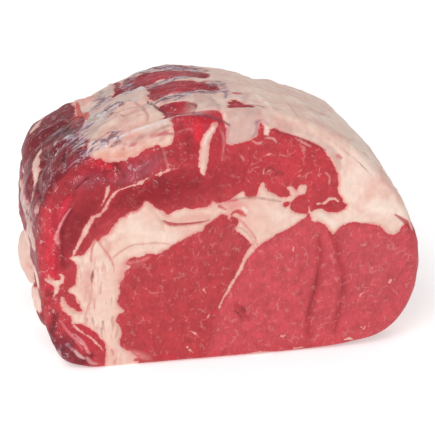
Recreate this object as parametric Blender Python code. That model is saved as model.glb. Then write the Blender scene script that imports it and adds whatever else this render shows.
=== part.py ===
"""Raw beef rib roast: a boneless rib joint cut square across its grain, as one solid body.

Metres, +Z up, +X to the right across the cut face, the cut face towards -Y, the base flat on Z = 0,
the middle of its box over the origin.
The cut's outline is carried from front to back. On the way it is rounded at both rims, it sinks where
string once held it, and it swells where the fat cover is thick.
"""
import bmesh
import bpy
import numpy as np

MM = 0.001

# Driving sizes, in mm
DEPTH = 110.0  # cut face to back
FRONT_ROUND = 4.0  # how softly the cut's edge turns
SHOULDER_ROUND = 7.0  # extra softness where the fat slab leans over the cut's upper left edge
BACK_ROUND = 12.0
FRONT_CROWN = 1.6  # how far the cut meat bulges
BACK_CROWN = 5.0
BELLY = 5.0  # how far the left side swells at mid depth
RIGHT_BELLY = 1.5
STRING_FIRST = 33.0  # depth of the first string mark behind the cut
STRING_PITCH = 34.0
STRING_DEEP = 2.2
STRING_HALF_WIDTH = 6.0
STRING_MARKS = 2

# Where each feature fades in, as the value where it starts and the value where it is whole, in mm
OFF_BASE = (5, 60)  # height: the sides leave the flat base
LEFT_FLANK = (-50, -85)  # x: the left belly
FLANK_TOP = (108, 84)  # height: the left belly fades out upwards
RIGHT_FLANK = (50, 80)  # x: the right belly
MARK_HEIGHTS = (10, 45)  # height: the string marks
SHOULDER_ACROSS = (-20, -60)  # x: the softer edge under the fat slab
SHOULDER_HEIGHTS = (80, 115)  # height: the same
SINK_FROM = 0.15  # part of the depth where the top starts to sink
BELLY_FULLNESS = 0.7  # below 1 the belly is fuller near its ends

# The cut's outline seen from the front, clockwise from the left end of the flat base, in mm: (x, z)
SECTION = (
    (-58, 0), (-75, 0.8), (-88, 8), (-94.5, 28), (-95.5, 52), (-95.5, 76), (-91, 99), (-78, 115.5),
    (-57, 126.5), (-34, 133.5), (-9, 137.5), (16, 135.5), (38, 128.5), (58, 116), (75, 98), (89, 77),
    (97, 53), (94.5, 26), (82, 8), (60, 1.8), (32, 0), (-14, 0),
)

# How far the upper half of the section sinks from front to back, by where it is across, in mm: (x, sink)
BACK_SINK = ((-96, 2), (-86, 8), (-70, 16), (-50, 13), (-20, 11), (5, 15), (35, 18), (55, 13), (72, 5), (97, 3))

# Lobes of fat on the left flank: middle y and z, half length and half height, how far it stands out, in mm
FLANK_LOBES = (
    (-38, 32, 13, 11, 2.5),
    (-5, 42, 14, 14, 5.0),
    (28, 62, 14, 20, 2.5),
)

# Mesh density
AROUND = 92
ALONG = 25
ROUND_STEPS = 4
CAP_RINGS = 7
CAP_INNER = 0.1
CURVE_STEPS = 40

MEAT_COLOUR = (0.52, 0.07, 0.09, 1.0)
MEAT_ROUGHNESS = 0.38


def smooth(low, high, value):
    """0 below low, 1 above high, and a smooth S between them."""
    t = np.clip((value - low) / (high - low), 0, 1)
    return t * t * (3 - 2 * t)


def outline(points, count):
    """Closed Catmull-Rom curve through the points, as count points at equal steps along it."""
    p = np.array(points, float)
    t = np.linspace(0, 1, CURVE_STEPS, endpoint=False)[:, None]
    before, here, after, beyond = (np.roll(p, shift, 0)[:, None, :] for shift in (1, 0, -1, -2))
    curve = 0.5 * (
        2 * here
        + (after - before) * t
        + (2 * before - 5 * here + 4 * after - beyond) * t**2
        + (3 * here - before - 3 * after + beyond) * t**3
    )
    curve = curve.reshape(-1, 2)
    curve = np.vstack([curve, curve[:1]])
    run = np.concatenate([[0], np.cumsum(np.linalg.norm(np.diff(curve, axis=0), axis=1))])
    steps = np.linspace(0, run[-1], count, endpoint=False)
    return np.stack([np.interp(steps, run, curve[:, k]) for k in range(2)], 1)


def outward(points):
    """Unit normals of the clockwise outline, pointing out of the meat."""
    along = np.roll(points, -1, 0) - np.roll(points, 1, 0)
    along /= np.linalg.norm(along, axis=1)[:, None]
    return np.stack([-along[:, 1], along[:, 0]], 1)


def swell(x, z, depth):
    """How far the skin stands out from the cut's outline, in mm, at a place on it and a depth behind it."""
    off_base = smooth(*OFF_BASE, z)
    left = smooth(*LEFT_FLANK, x) * smooth(*FLANK_TOP, z)
    right = smooth(*RIGHT_FLANK, x)
    middle = np.sin(np.pi * np.clip(depth / DEPTH, 0, 1)) ** BELLY_FULLNESS
    across, sink = np.transpose(BACK_SINK)
    total = (BELLY * left + RIGHT_BELLY * right) * off_base * middle
    total -= np.interp(x, across, sink) * off_base * (1 - left) * smooth(SINK_FROM, 1.0, depth / DEPTH)
    for mark in range(STRING_MARKS):
        off_mark = (depth - STRING_FIRST - mark * STRING_PITCH) / STRING_HALF_WIDTH
        total -= STRING_DEEP * np.exp(-off_mark**2) * smooth(*MARK_HEIGHTS, z)
    for y, height, half_length, half_height, proud in FLANK_LOBES:
        off = ((depth - DEPTH / 2 - y) / half_length) ** 2 + ((z - height) / half_height) ** 2
        total += proud * np.sqrt(np.clip(1 - off, 0, 1)) * (x < 0)
    return total


def section(flat, out, depth, inset):
    """One ring of the body, in mm: the outline, swollen for its depth and drawn in by inset."""
    stand = swell(flat[:, 0], flat[:, 1], depth) - inset
    moved = flat + out * stand[:, None]
    y = np.broadcast_to(depth - DEPTH / 2, len(flat))
    return np.stack([moved[:, 0], y, np.maximum(moved[:, 1], 0)], 1)


def side_rings(flat, out):
    """Rings from the front rim to the back rim, with a quarter turn of rounding at each end."""
    x, z = flat.T
    front = FRONT_ROUND + SHOULDER_ROUND * smooth(*SHOULDER_ACROSS, x) * smooth(*SHOULDER_HEIGHTS, z)
    turn = np.linspace(0, np.pi / 2, ROUND_STEPS + 1)
    rings = [section(flat, out, front * (1 - np.cos(a)), front * (1 - np.sin(a))) for a in turn]
    for part in np.linspace(0, 1, ALONG)[1:-1]:
        rings.append(section(flat, out, front + (DEPTH - BACK_ROUND - front) * part, 0))
    for a in turn[::-1]:
        back = BACK_ROUND * (1 - np.sin(a))
        rings.append(section(flat, out, DEPTH - BACK_ROUND * (1 - np.cos(a)), back))
    return rings


def cap_rings(rim, crown):
    """Rings that close an end: the rim drawn towards its middle, over a shallow dome."""
    middle = rim.mean(0)
    rings = []
    for size in np.linspace(1, CAP_INNER, CAP_RINGS + 1)[1:]:
        ring = middle + (rim - middle) * size
        ring[:, 1] += crown * (1 - size**2)
        rings.append(ring)
    return rings


def add_ring(mesh, points):
    """Puts a closed loop of edges into the mesh and returns the edges."""
    corners = [mesh.verts.new(point) for point in points * MM]
    return [mesh.edges.new((a, b)) for a, b in zip(corners, corners[1:] + corners[:1])]


def roast_mesh():
    """The closed body: every ring bridged to the next, the last small ring at each end filled, and centred."""
    flat = outline(SECTION, AROUND)
    sides = side_rings(flat, outward(flat))
    front = cap_rings(sides[0], -FRONT_CROWN)
    back = cap_rings(sides[-1], BACK_CROWN)
    mesh = bmesh.new()
    loops = [add_ring(mesh, points) for points in front[::-1] + sides + back]
    for near, far in zip(loops, loops[1:]):
        bmesh.ops.bridge_loops(mesh, edges=near + far)
    for end in (loops[0], loops[-1]):
        fill = bmesh.ops.contextual_create(mesh, geom=end)
        bmesh.ops.poke(mesh, faces=fill["faces"])
    bmesh.ops.recalc_face_normals(mesh, faces=mesh.faces)
    places = np.array([corner.co for corner in mesh.verts])
    middle = (places.min(0) + places.max(0)) / 2
    bmesh.ops.translate(mesh, verts=mesh.verts, vec=(-middle[0], -middle[1], 0))
    return mesh


def meat_material():
    material = bpy.data.materials.new("raw_beef")
    material.use_nodes = True
    shader = material.node_tree.nodes["Principled BSDF"]
    shader.inputs["Base Color"].default_value = MEAT_COLOUR
    shader.inputs["Roughness"].default_value = MEAT_ROUGHNESS
    return material


def main():
    for thing in list(bpy.data.objects):
        bpy.data.objects.remove(thing)
    mesh = roast_mesh()
    data = bpy.data.meshes.new("roast")
    mesh.to_mesh(data)
    mesh.free()
    data.polygons.foreach_set("use_smooth", [True] * len(data.polygons))
    data.materials.append(meat_material())
    bpy.context.scene.collection.objects.link(bpy.data.objects.new("roast", data))


main()
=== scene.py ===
"""Raw beef rib roast: the looks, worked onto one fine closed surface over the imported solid.

Lengths are in millimetres until a mesh is made. The cut is drawn in its own plane, x across and z up. The
outside is drawn on a chart: s runs clockwise round the section from the left end of the base, and depth
runs from the cut to the back. A pattern's edge is kept on the surface as a signed distance, so that the
material can draw it crisply between corners of the mesh.
"""
import math

import bpy
import numpy as np
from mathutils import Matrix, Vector


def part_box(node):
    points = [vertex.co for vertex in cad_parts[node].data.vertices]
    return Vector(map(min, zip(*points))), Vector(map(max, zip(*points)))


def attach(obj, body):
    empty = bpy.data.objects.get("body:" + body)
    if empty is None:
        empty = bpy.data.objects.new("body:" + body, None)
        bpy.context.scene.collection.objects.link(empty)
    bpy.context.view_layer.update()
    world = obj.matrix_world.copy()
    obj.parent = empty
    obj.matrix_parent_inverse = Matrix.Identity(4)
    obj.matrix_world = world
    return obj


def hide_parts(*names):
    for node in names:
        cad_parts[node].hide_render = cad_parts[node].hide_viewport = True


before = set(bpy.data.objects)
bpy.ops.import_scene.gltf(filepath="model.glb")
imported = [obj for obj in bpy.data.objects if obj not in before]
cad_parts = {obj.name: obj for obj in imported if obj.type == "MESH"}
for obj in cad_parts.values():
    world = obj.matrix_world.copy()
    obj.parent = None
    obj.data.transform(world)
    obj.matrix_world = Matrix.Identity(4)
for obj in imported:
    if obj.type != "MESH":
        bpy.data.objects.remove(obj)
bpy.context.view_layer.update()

MM = 0.001

# The solid's sizes, as part.py has them
DEPTH = 110.0
FRONT_ROUND = 4.0
SHOULDER_ROUND = 7.0
BACK_ROUND = 12.0
FRONT_CROWN = 1.6
BACK_CROWN = 5.0
BELLY = 5.0
RIGHT_BELLY = 1.5
STRING_FIRST = 33.0
STRING_PITCH = 34.0
STRING_DEEP = 2.2
STRING_HALF_WIDTH = 6.0
STRING_MARKS = 2
OFF_BASE = (5, 60)
LEFT_FLANK = (-50, -85)
FLANK_TOP = (108, 84)
RIGHT_FLANK = (50, 80)
MARK_HEIGHTS = (10, 45)
SHOULDER_ACROSS = (-20, -60)
SHOULDER_HEIGHTS = (80, 115)
SINK_FROM = 0.15
BELLY_FULLNESS = 0.7
SECTION = (
    (-58, 0), (-75, 0.8), (-88, 8), (-94.5, 28), (-95.5, 52), (-95.5, 76), (-91, 99), (-78, 115.5),
    (-57, 126.5), (-34, 133.5), (-9, 137.5), (16, 135.5), (38, 128.5), (58, 116), (75, 98), (89, 77),
    (97, 53), (94.5, 26), (82, 8), (60, 1.8), (32, 0), (-14, 0),
)
BACK_SINK = (
    (-96, 2), (-86, 8), (-70, 16), (-50, 13), (-20, 11), (5, 15), (35, 18), (55, 13), (72, 5), (97, 3),
)
FLANK_LOBES = (
    (-38, 32, 13, 11, 2.5),
    (-5, 42, 14, 14, 5.0),
    (28, 62, 14, 20, 2.5),
)

# Mesh density: cells across and up the cut, rows from front to back, and where the cut's four corners lie
CURVE_STEPS = 40
CUT_ACROSS = 220
CUT_UP = 160
CORNERS_S = (30.0, 143.0, 300.0, 410.0)
FRONT_ROWS = 9
MIDDLE_ROWS = 44
BACK_ROWS = 7
FINE_STEPS = 4000  # even steps round the section that places are read from
NORMAL_REACH = FINE_STEPS // 90  # how many of them a normal is smoothed over
LOT = 4000  # points worked on at a time
ROWS_CLOSER = 0.5  # how much closer together the rows are at the cut than at the back
STEP_IN = 0.012  # part of the way to the middle where the back's coarser ring lies
DOME_FULLNESS = 0.6
# Depths over which the cut's pattern gives way to the outside's, and the outside's to the back's
CUT_TO_SIDE = (1.0, 5.0)
SIDE_TO_BACK = (DEPTH - 9, DEPTH - 2)

OUTSIDE_FROM = (0.5, 6)  # depths over which the outside's ripples begin
RESTING_TILT = (-0.75, -0.95)  # how far a face looks down before it counts as resting
RESTING_HEIGHTS = (4, 1)
NOISE_CELLS = 32  # the noise comes round again after this many of its largest cells
LAYER_SHIFT = 7.3  # keeps the layers of noise from lying corner over corner
NOISE_GAIN = 1.6  # blending pulls the values towards 0; this brings them back out

# Sizes of what the finish shows, in mm
TEAR = 2.2  # raggedness of the edge between lean and fat
TEAR_DEEP = 1.1
FRAY = 3.4  # the same edge on the outside, where film and fat are pulled over it
FRAY_DEEP = 2.2
MOTTLE = 6.0
THREAD = 1.3  # muscle threads; real ones are finer than a tenth of this
BUNDLE = 4.2  # bundles of threads
SWAY = 5.0  # how the bundles bend
SWAY_BY = 4.0
BREAK = 3.5  # the tissue between bundles shows in places only
FLECK = 1.6  # marbling
LOBE = 3.5  # lobes of fat
BLUSH = 9.0
WHITER = 9.0
WAX = 3.0
STREAK = 3.0  # folds in the silver film
FILM_HOLE = 2.2  # dark meat between the folds of film
# Size of the painted glints of light on the wet film
PAINTED_GLINT = 0.9
# Size of the painted glints of light on drops of wet
PAINTED_SPARKLE = 1.1  # drops of wet
STRAND = 1.5  # strands in the column of fat
STRAND_STRETCH = (1.0, 0.6, 0.16)
GRAIN_STRETCH = (1.0, 0.5, 0.45)  # threads and flecks run up the cut
WRAP_STRETCH = (0.35, 1.1, 0.35)  # film and blushes run round the joint

LUMP = 14.0  # soft unevenness all over
LUMP_HIGH = 0.7
LUMP_ON_CUT = 0.25  # a knife leaves the cut flatter than the outside
FAT_LUMP = 6.0
FAT_LUMP_HIGH = 0.35
RIPPLE = 4.5  # fine ripples on the outside
RIPPLE_HIGH = 0.3
RIPPLE_STRETCH = np.array([0.5, 1, 1])
LOW_RELIEF = 0.35  # part of the relief left at the base, where the weight presses it flat
LOW_TO = 6.0
CHART_WARP = 9.0  # how the outside's pattern wavers
CHART_WARP_BY = 1.2
FLANK_WARP = 13.0  # how the edge of the flank's fat wanders
FLANK_RAG = 5.0
BACK_WARP = 38.0  # how the back's muscles differ from the cut's
BACK_WARP_BY = 4.5
BACK_WIDER = 1.06
BACK_TALLER = 1.13
BACK_SHIFT = 2.0

WET_LEAN = (0.97, 0.62, 0.65)  # lean is deeper and redder wet than dry
CAP_RED = "b9484f"
EYE_RED = "b94a50"
EYE_LIGHT_RED = "c95d65"
CREASE_RED = "a83a42"
LOW_EYE_RED = "bf3d49"
FLANK_RED = "8f2f3c"
INNER_FAT_CREAM = "ebc9b9"
OUTER_FAT_CREAM = "f5dccd"
COVER_FAT_CREAM = "efd0c0"
BAND_GREY = "cba399"
CLEAR_GREY = "d0ada4"
MARBLING_PINK = "e3a09a"
EDGE_RED = "c23a44"  # lean where it meets fat
BLUSH_PINK = "e3a497"
FAT_WHITE = "f4e2d3"
SEAM_PINK = "dca295"
STRAND_BROWN = "cf8f85"
THIN_FAT_PINK = "dd8a84"
# The film's own bluish grey, which also serves as painted wet sheen
FILM_GREY_AND_SHEEN = "bfaab6"
FILM_HOLE_RED = "6d2c3a"
# Painted glints of light on the wet film
PAINTED_GLINT_WHITE = "ebe0e4"
# Painted glints of light on the wet lean
PAINTED_SPARKLE_WHITE = "e9ced0"
FLOOR_WHITE = "f7f7f7"

FLOOR_REACH = 4000
FLOOR_GLOW = 0.40
AMBIENT = 0.57
KEY_WATTS = 5.3
KEY_PLACE = (-450, -700, 900)
KEY_WIDTH = 600
LIT_MIDDLE = (0, 0, 60)
CAMERA_AZIMUTH = -9.5
CAMERA_ELEVATION = 26.0
CAMERA_DISTANCE = 840.0
CAMERA_TARGET = (0.6, -26.7, 66.5)
CAMERA_LENS = 135.0
CAMERA_SENSOR = 36.0


# ---- curves, distances and noise ----

def smooth(low, high, value):
    """0 below low, 1 above high, and a smooth S between them."""
    t = np.clip((value - low) / (high - low), 0, 1)
    return t * t * (3 - 2 * t)


def mix(a, b, weight):
    """a where weight is 0, b where it is 1. A colour is mixed channel by channel."""
    a, b = np.asarray(a, float), np.asarray(b, float)
    if max(a.ndim, b.ndim) > np.ndim(weight):
        weight = np.asarray(weight)[:, None]
    return a + (b - a) * weight


def spline(points, steps, closed):
    """Catmull-Rom curve through the points, each span cut into steps."""
    p = np.array(points, float)
    if not closed:
        p = np.vstack([2 * p[0] - p[1], p, 2 * p[-1] - p[-2]])
    t = np.linspace(0, 1, steps, endpoint=False)[:, None]
    before, here, after, beyond = (np.roll(p, shift, 0)[:, None, :] for shift in (1, 0, -1, -2))
    curve = 0.5 * (
        2 * here
        + (after - before) * t
        + (2 * before - 5 * here + 4 * after - beyond) * t**2
        + (3 * here - before - 3 * after + beyond) * t**3
    )
    if closed:
        return curve.reshape(-1, p.shape[1])
    return np.vstack([curve[1:-2].reshape(-1, p.shape[1]), p[-2:-1]])


def nearest_on(points, path):
    """Distance from each point to an open path of corners, and how far along it the nearest place is, 0 to 1.
    The points are taken in lots, which keeps the arrays small."""
    start, span = path[:-1], np.diff(path, axis=0)
    length = np.maximum((span**2).sum(1), 1e-9)
    found = []
    for lot in np.array_split(points, len(points) // LOT + 1):
        off_x, off_y = lot[:, :1] - start[:, 0], lot[:, 1:2] - start[:, 1]
        along = np.clip((off_x * span[:, 0] + off_y * span[:, 1]) / length, 0, 1)
        gap = np.hypot(off_x - along * span[:, 0], off_y - along * span[:, 1])
        pick = gap.argmin(1)
        row = np.arange(len(lot))
        found.append(np.stack([gap[row, pick], (pick + along[row, pick]) / len(span)]))
    return np.hstack(found)


def patch(points, outline, steps=5):
    """Signed distance to a closed smooth outline, positive inside: the distance to its nearest side, with
    the sign from how many sides lie to the right of the point."""
    ring = spline(outline, steps, True)
    ends = np.vstack([ring, ring[:1]])
    gap = nearest_on(points, ends)[0]
    x, y = points[:, 0, None], points[:, 1, None]
    a, b = ends[:-1], ends[1:]
    spans = (a[:, 1] > y) != (b[:, 1] > y)
    rise = np.where(b[:, 1] == a[:, 1], 1e-9, b[:, 1] - a[:, 1])
    crossing = a[:, 0] + (y - a[:, 1]) * (b[:, 0] - a[:, 0]) / rise
    inside = (spans & (x < crossing)).sum(1) % 2 == 1
    return np.where(inside, gap, -gap)


def stroke(points, path, widths, steps=6):
    """Signed distance to a band of changing width along a smooth open path, positive inside."""
    line = spline(path, steps, False)
    gap, along = nearest_on(points, line)
    half = np.interp(along, np.linspace(0, 1, len(widths)), widths) / 2
    return half - gap


def spot(points, centre, half_sizes, turn=0.0):
    """1 at the centre of a soft oval, falling to 0 at its edge. turn is in degrees."""
    c, s = math.cos(math.radians(turn)), math.sin(math.radians(turn))
    off = points - np.array(centre, float)
    u = (off[:, 0] * c + off[:, 1] * s) / half_sizes[0]
    v = (off[:, 1] * c - off[:, 0] * s) / half_sizes[1]
    return smooth(1, 0, np.sqrt(u * u + v * v))


def wander(points, size, seed, layers=3):
    """Smooth noise from -1 to 1: random values on a grid of the given size, blended between its corners, with
    finer and weaker layers on top."""
    grid = np.random.default_rng(seed).uniform(-1, 1, (NOISE_CELLS,) * 3)
    total, strength = np.zeros(len(points)), 0.0
    for layer in range(layers):
        p = points / size * 2**layer + LAYER_SHIFT * layer
        cell = np.floor(p).astype(int)
        f = p - cell
        f = f * f * (3 - 2 * f)
        value = 0
        for corner in range(8):
            bit = np.array([corner & 1, corner >> 1 & 1, corner >> 2 & 1])
            weight = np.where(bit, f, 1 - f).prod(1)
            value = value + weight * grid[tuple(((cell + bit) % NOISE_CELLS).T)]
        total += value * 0.5**layer
        strength += 0.5**layer
    return total / strength * NOISE_GAIN


def colour(text):
    """A sRGB hex colour as linear red, green and blue."""
    parts = [int(text[k:k + 2], 16) / 255 for k in (0, 2, 4)]
    return np.array([c / 12.92 if c <= 0.04045 else ((c + 0.055) / 1.055) ** 2.4 for c in parts])


# ---- the shape ----

def section_at(s):
    """Place and outward normal on the section's outline at arc lengths s, as rows of x, z, normal x and
    normal z, and the outline's whole length."""
    curve = spline(SECTION, CURVE_STEPS, True)
    curve = np.vstack([curve, curve[:1]])
    run = np.concatenate([[0], np.cumsum(np.linalg.norm(np.diff(curve, axis=0), axis=1))])
    even = np.linspace(0, run[-1], FINE_STEPS + 1)
    place = np.stack([np.interp(even, run, curve[:, k]) for k in range(2)], 1)
    ring = place[:-1]
    along = np.roll(ring, -NORMAL_REACH, 0) - np.roll(ring, NORMAL_REACH, 0)
    along /= np.linalg.norm(along, axis=1)[:, None]
    out = np.stack([-along[:, 1], along[:, 0]], 1)
    out = np.vstack([out, out[:1]])
    table = np.hstack([place, out])
    length = run[-1]
    found = [np.interp(np.mod(s, length), even, table[:, k]) for k in range(4)]
    return np.stack(found, 1), length


def swell(x, z, depth):
    """How far the skin stands out from the cut's outline at a place on it and a depth behind it."""
    off_base = smooth(*OFF_BASE, z)
    left = smooth(*LEFT_FLANK, x) * smooth(*FLANK_TOP, z)
    right = smooth(*RIGHT_FLANK, x)
    middle = np.sin(np.pi * np.clip(depth / DEPTH, 0, 1)) ** BELLY_FULLNESS
    across, sink = np.transpose(BACK_SINK)
    total = (BELLY * left + RIGHT_BELLY * right) * off_base * middle
    sunk = np.interp(x, across, sink) * off_base * (1 - left) * smooth(SINK_FROM, 1.0, depth / DEPTH)
    total = total - sunk
    for mark in range(STRING_MARKS):
        off_mark = (depth - STRING_FIRST - mark * STRING_PITCH) / STRING_HALF_WIDTH
        total = total - STRING_DEEP * np.exp(-off_mark**2) * smooth(*MARK_HEIGHTS, z)
    for y, height, half_length, half_height, proud in FLANK_LOBES:
        off = ((depth - DEPTH / 2 - y) / half_length) ** 2 + ((z - height) / half_height) ** 2
        total = total + proud * np.sqrt(np.clip(1 - off, 0, 1)) * (x < 0)
    return total


def ring_places(cells_across, cells_up):
    """Arc lengths of a ring of corners, clockwise from the cut's lower left corner, even along each side."""
    length = section_at(np.zeros(1))[1]
    low_left, high_left, high_right, low_right = CORNERS_S
    sides = (
        (low_left, high_left, cells_up),
        (high_left, high_right, cells_across),
        (high_right, low_right, cells_up),
        (low_right, low_left + length, cells_across),
    )
    return np.concatenate([np.linspace(a, b, count, endpoint=False) for a, b, count in sides])


def skin(s):
    """The tube from the front rim to the back rim: a grid of places, with each one's depth."""
    (x, z, out_x, out_z) = section_at(s)[0].T
    front = FRONT_ROUND + SHOULDER_ROUND * smooth(*SHOULDER_ACROSS, x) * smooth(*SHOULDER_HEIGHTS, z)
    rows = []
    for turn in np.linspace(0, math.pi / 2, FRONT_ROWS):
        rows.append((front * (1 - math.cos(turn)), front * (1 - math.sin(turn))))
    for part in np.linspace(0, 1, MIDDLE_ROWS + 2)[1:-1]:
        part = part * (1 + ROWS_CLOSER * part) / (1 + ROWS_CLOSER)
        rows.append((front + (DEPTH - BACK_ROUND - front) * part, 0 * x))
    for turn in np.linspace(math.pi / 2, 0, BACK_ROWS):
        back = BACK_ROUND * (1 - math.sin(turn))
        rows.append((DEPTH - BACK_ROUND * (1 - math.cos(turn)) + 0 * x, back + 0 * x))
    depth = np.array([row[0] for row in rows])
    inset = np.array([row[1] for row in rows])
    stand = swell(x, z, depth) - inset
    place = np.stack([x + out_x * stand, depth - DEPTH / 2, np.maximum(z + out_z * stand, 0)], 2)
    return place, depth


def lid(rim, across, up, crown):
    """A grid that fills a rim: straight blends between its four sides, less what they share, over a dome
    that is flat at the rim."""
    left = rim[:up + 1]
    top = rim[up:up + across + 1]
    right = rim[up + across:2 * up + across + 1][::-1]
    base = np.vstack([rim[2 * up + across:], rim[:1]])[::-1]
    u = np.linspace(0, 1, across + 1)[:, None, None]
    v = np.linspace(0, 1, up + 1)[None, :, None]
    both = (1 - v) * base[:, None] + v * top[:, None] + (1 - u) * left[None] + u * right[None]
    corners = (1 - u) * (1 - v) * base[0] + u * (1 - v) * base[-1] + (1 - u) * v * top[0] + u * v * top[-1]
    grid = both - corners
    dome = (16 * u * (1 - u) * v * (1 - v))[..., 0] ** DOME_FULLNESS
    grid[..., 1] += crown * dome
    return grid


def lid_numbers(across, up, ring_first, inner_first):
    """The corner numbers of a lid's grid, whose edge is a ring of corners made before it."""
    number = np.zeros((across + 1, up + 1), int)
    number[1:-1, 1:-1] = inner_first + np.arange((across - 1) * (up - 1)).reshape(across - 1, up - 1)
    around = 2 * (across + up)
    ring = ring_first + np.arange(around)
    number[0, :] = ring[:up + 1]
    number[:, up] = ring[up:up + across + 1]
    number[across, :] = ring[up + across:2 * up + across + 1][::-1]
    number[:, 0] = np.append(ring[2 * up + across:], ring[0])[::-1]
    return number


def grid_quads(number, closed=False):
    """Four-sided faces between neighbours of a grid of corner numbers."""
    if closed:
        number = np.hstack([number, number[:, :1]])
    a, b = number[:-1, :-1], number[1:, :-1]
    c, d = number[1:, 1:], number[:-1, 1:]
    return np.stack([a, b, c, d], -1).reshape(-1, 4)


def step_down(fine, coarse):
    """Triangles from a ring of corners to one with half as many."""
    f0, f1, f2 = fine[0::2], fine[1::2], np.roll(fine[0::2], -1)
    c0, c1 = coarse, np.roll(coarse, -1)
    return np.vstack([np.stack(t, 1) for t in ((f0, f1, c0), (f1, c1, c0), (f1, f2, c1))])


def roast_surface():
    """Every corner of the closed body with its chart, and its faces, pointing out."""
    s = ring_places(CUT_ACROSS, CUT_UP)
    tube, depth = skin(s)
    rows, around = depth.shape
    cut = lid(tube[0], CUT_ACROSS, CUT_UP, -FRONT_CROWN)
    rim_back = tube[-1]
    half_across, half_up = CUT_ACROSS // 2, CUT_UP // 2
    coarse = rim_back[::2] + (rim_back.mean(0) - rim_back[::2]) * STEP_IN
    back = lid(coarse, half_across, half_up, BACK_CROWN)
    parts = [tube.reshape(-1, 3), cut[1:-1, 1:-1].reshape(-1, 3), coarse, back[1:-1, 1:-1].reshape(-1, 3)]
    first = np.cumsum([0] + [len(p) for p in parts])
    tube_numbers = np.arange(rows * around).reshape(rows, around)
    cut_numbers = lid_numbers(CUT_ACROSS, CUT_UP, 0, first[1])
    back_numbers = lid_numbers(half_across, half_up, first[2], first[3])
    quads = np.vstack([
        grid_quads(tube_numbers, True)[:, ::-1],
        grid_quads(cut_numbers),
        grid_quads(back_numbers)[:, ::-1],
    ])
    triangles = step_down(tube_numbers[-1], first[2] + np.arange(around // 2))
    places = np.vstack(parts)
    chart_s = np.full(len(places), np.nan)
    chart_s[:first[1]] = np.broadcast_to(s, depth.shape).ravel()
    chart_s[first[2]:first[3]] = s[::2]
    chart_d = np.zeros(len(places))
    chart_d[:first[1]] = depth.ravel()
    chart_d[first[2]:] = DEPTH
    return places, chart_s, chart_d, quads, triangles


def corner_normals(places, quads, triangles):
    """Unit normals at the corners: the sum of the normals of the faces round each one, by area."""
    total = np.zeros_like(places)
    fans = (quads[:, [0, 1, 2]], quads[:, [0, 2, 3]], triangles)
    for fan in fans:
        a, b, c = (places[fan[:, k]] for k in range(3))
        face = np.cross(b - a, c - a)
        for k in range(3):
            for axis in range(3):
                total[:, axis] += np.bincount(fan[:, k], face[:, axis], len(places))
    return total / np.maximum(np.linalg.norm(total, axis=1), 1e-9)[:, None]


# ---- the pattern of lean and fat ----
# Every pattern is a dict of arrays, one value for each corner:
#   fat     signed distance into the fat, mm        lean, pale  colours of the lean and of the fat
#   line    signed distance into a thin line, mm    line_tone   the colour of that line
#   film    how much silver film covers it, with its painted sheen and glints, 0 to 1  marble  how much marbling the lean has, 0 to 1
#   relief  how far the surface stands out, mm      loose_and_sparkle  how far edges are frayed and pulled, and how thick the painted wet glints lie, 0 to 1

# The cut, as x and z. The eye is the big muscle of the loin and the cap lies over it, with the flank strip
# down the left side as its thin end.
EYE = (
    (-47, -8), (-48, 3), (-51.5, 8.5), (-56.3, 11.5), (-57.8, 15.5), (-56.6, 20), (-57.5, 24.5),
    (-59.3, 28), (-58.3, 31), (-55, 33.6), (-57.5, 36), (-58.2, 40), (-56.5, 44), (-56.8, 49), (-55, 52),
    (-54.3, 55.5), (-51.5, 58), (-53.5, 60.5), (-50.5, 63), (-46, 62.8), (-43, 65), (-38.5, 64),
    (-34, 66), (-30, 68.3), (-25, 71), (-19, 74), (-15, 75.3), (-13.5, 78), (-9.5, 81), (-6, 83.3),
    (-3, 82.6), (-2.2, 80.2), (-1, 82), (1.6, 81.3), (2.9, 79), (1.8, 76.2), (0.3, 74.6), (2.5, 73),
    (5, 70.8), (7.5, 68), (9.6, 65.3), (10.6, 62.6), (13.2, 63.8), (15, 65.5), (19, 68), (24, 71),
    (30, 73.8), (34, 76.5), (37.6, 78.6), (39.4, 78), (40.4, 76.2), (44, 75), (47.5, 72.6), (50, 69),
    (51.2, 67), (53, 69.3), (56, 72), (60.5, 73.3), (66, 72.7), (72, 71.2), (75.5, 70), (77.8, 67.3),
    (80.5, 65.2), (84, 64.8), (86, 66.8), (88, 69), (90.3, 69.6), (92.5, 67), (94.5, 63.5), (101, 58),
    (103, 38), (97, 14), (84, 2), (60, -6), (0, -9),
)
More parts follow.
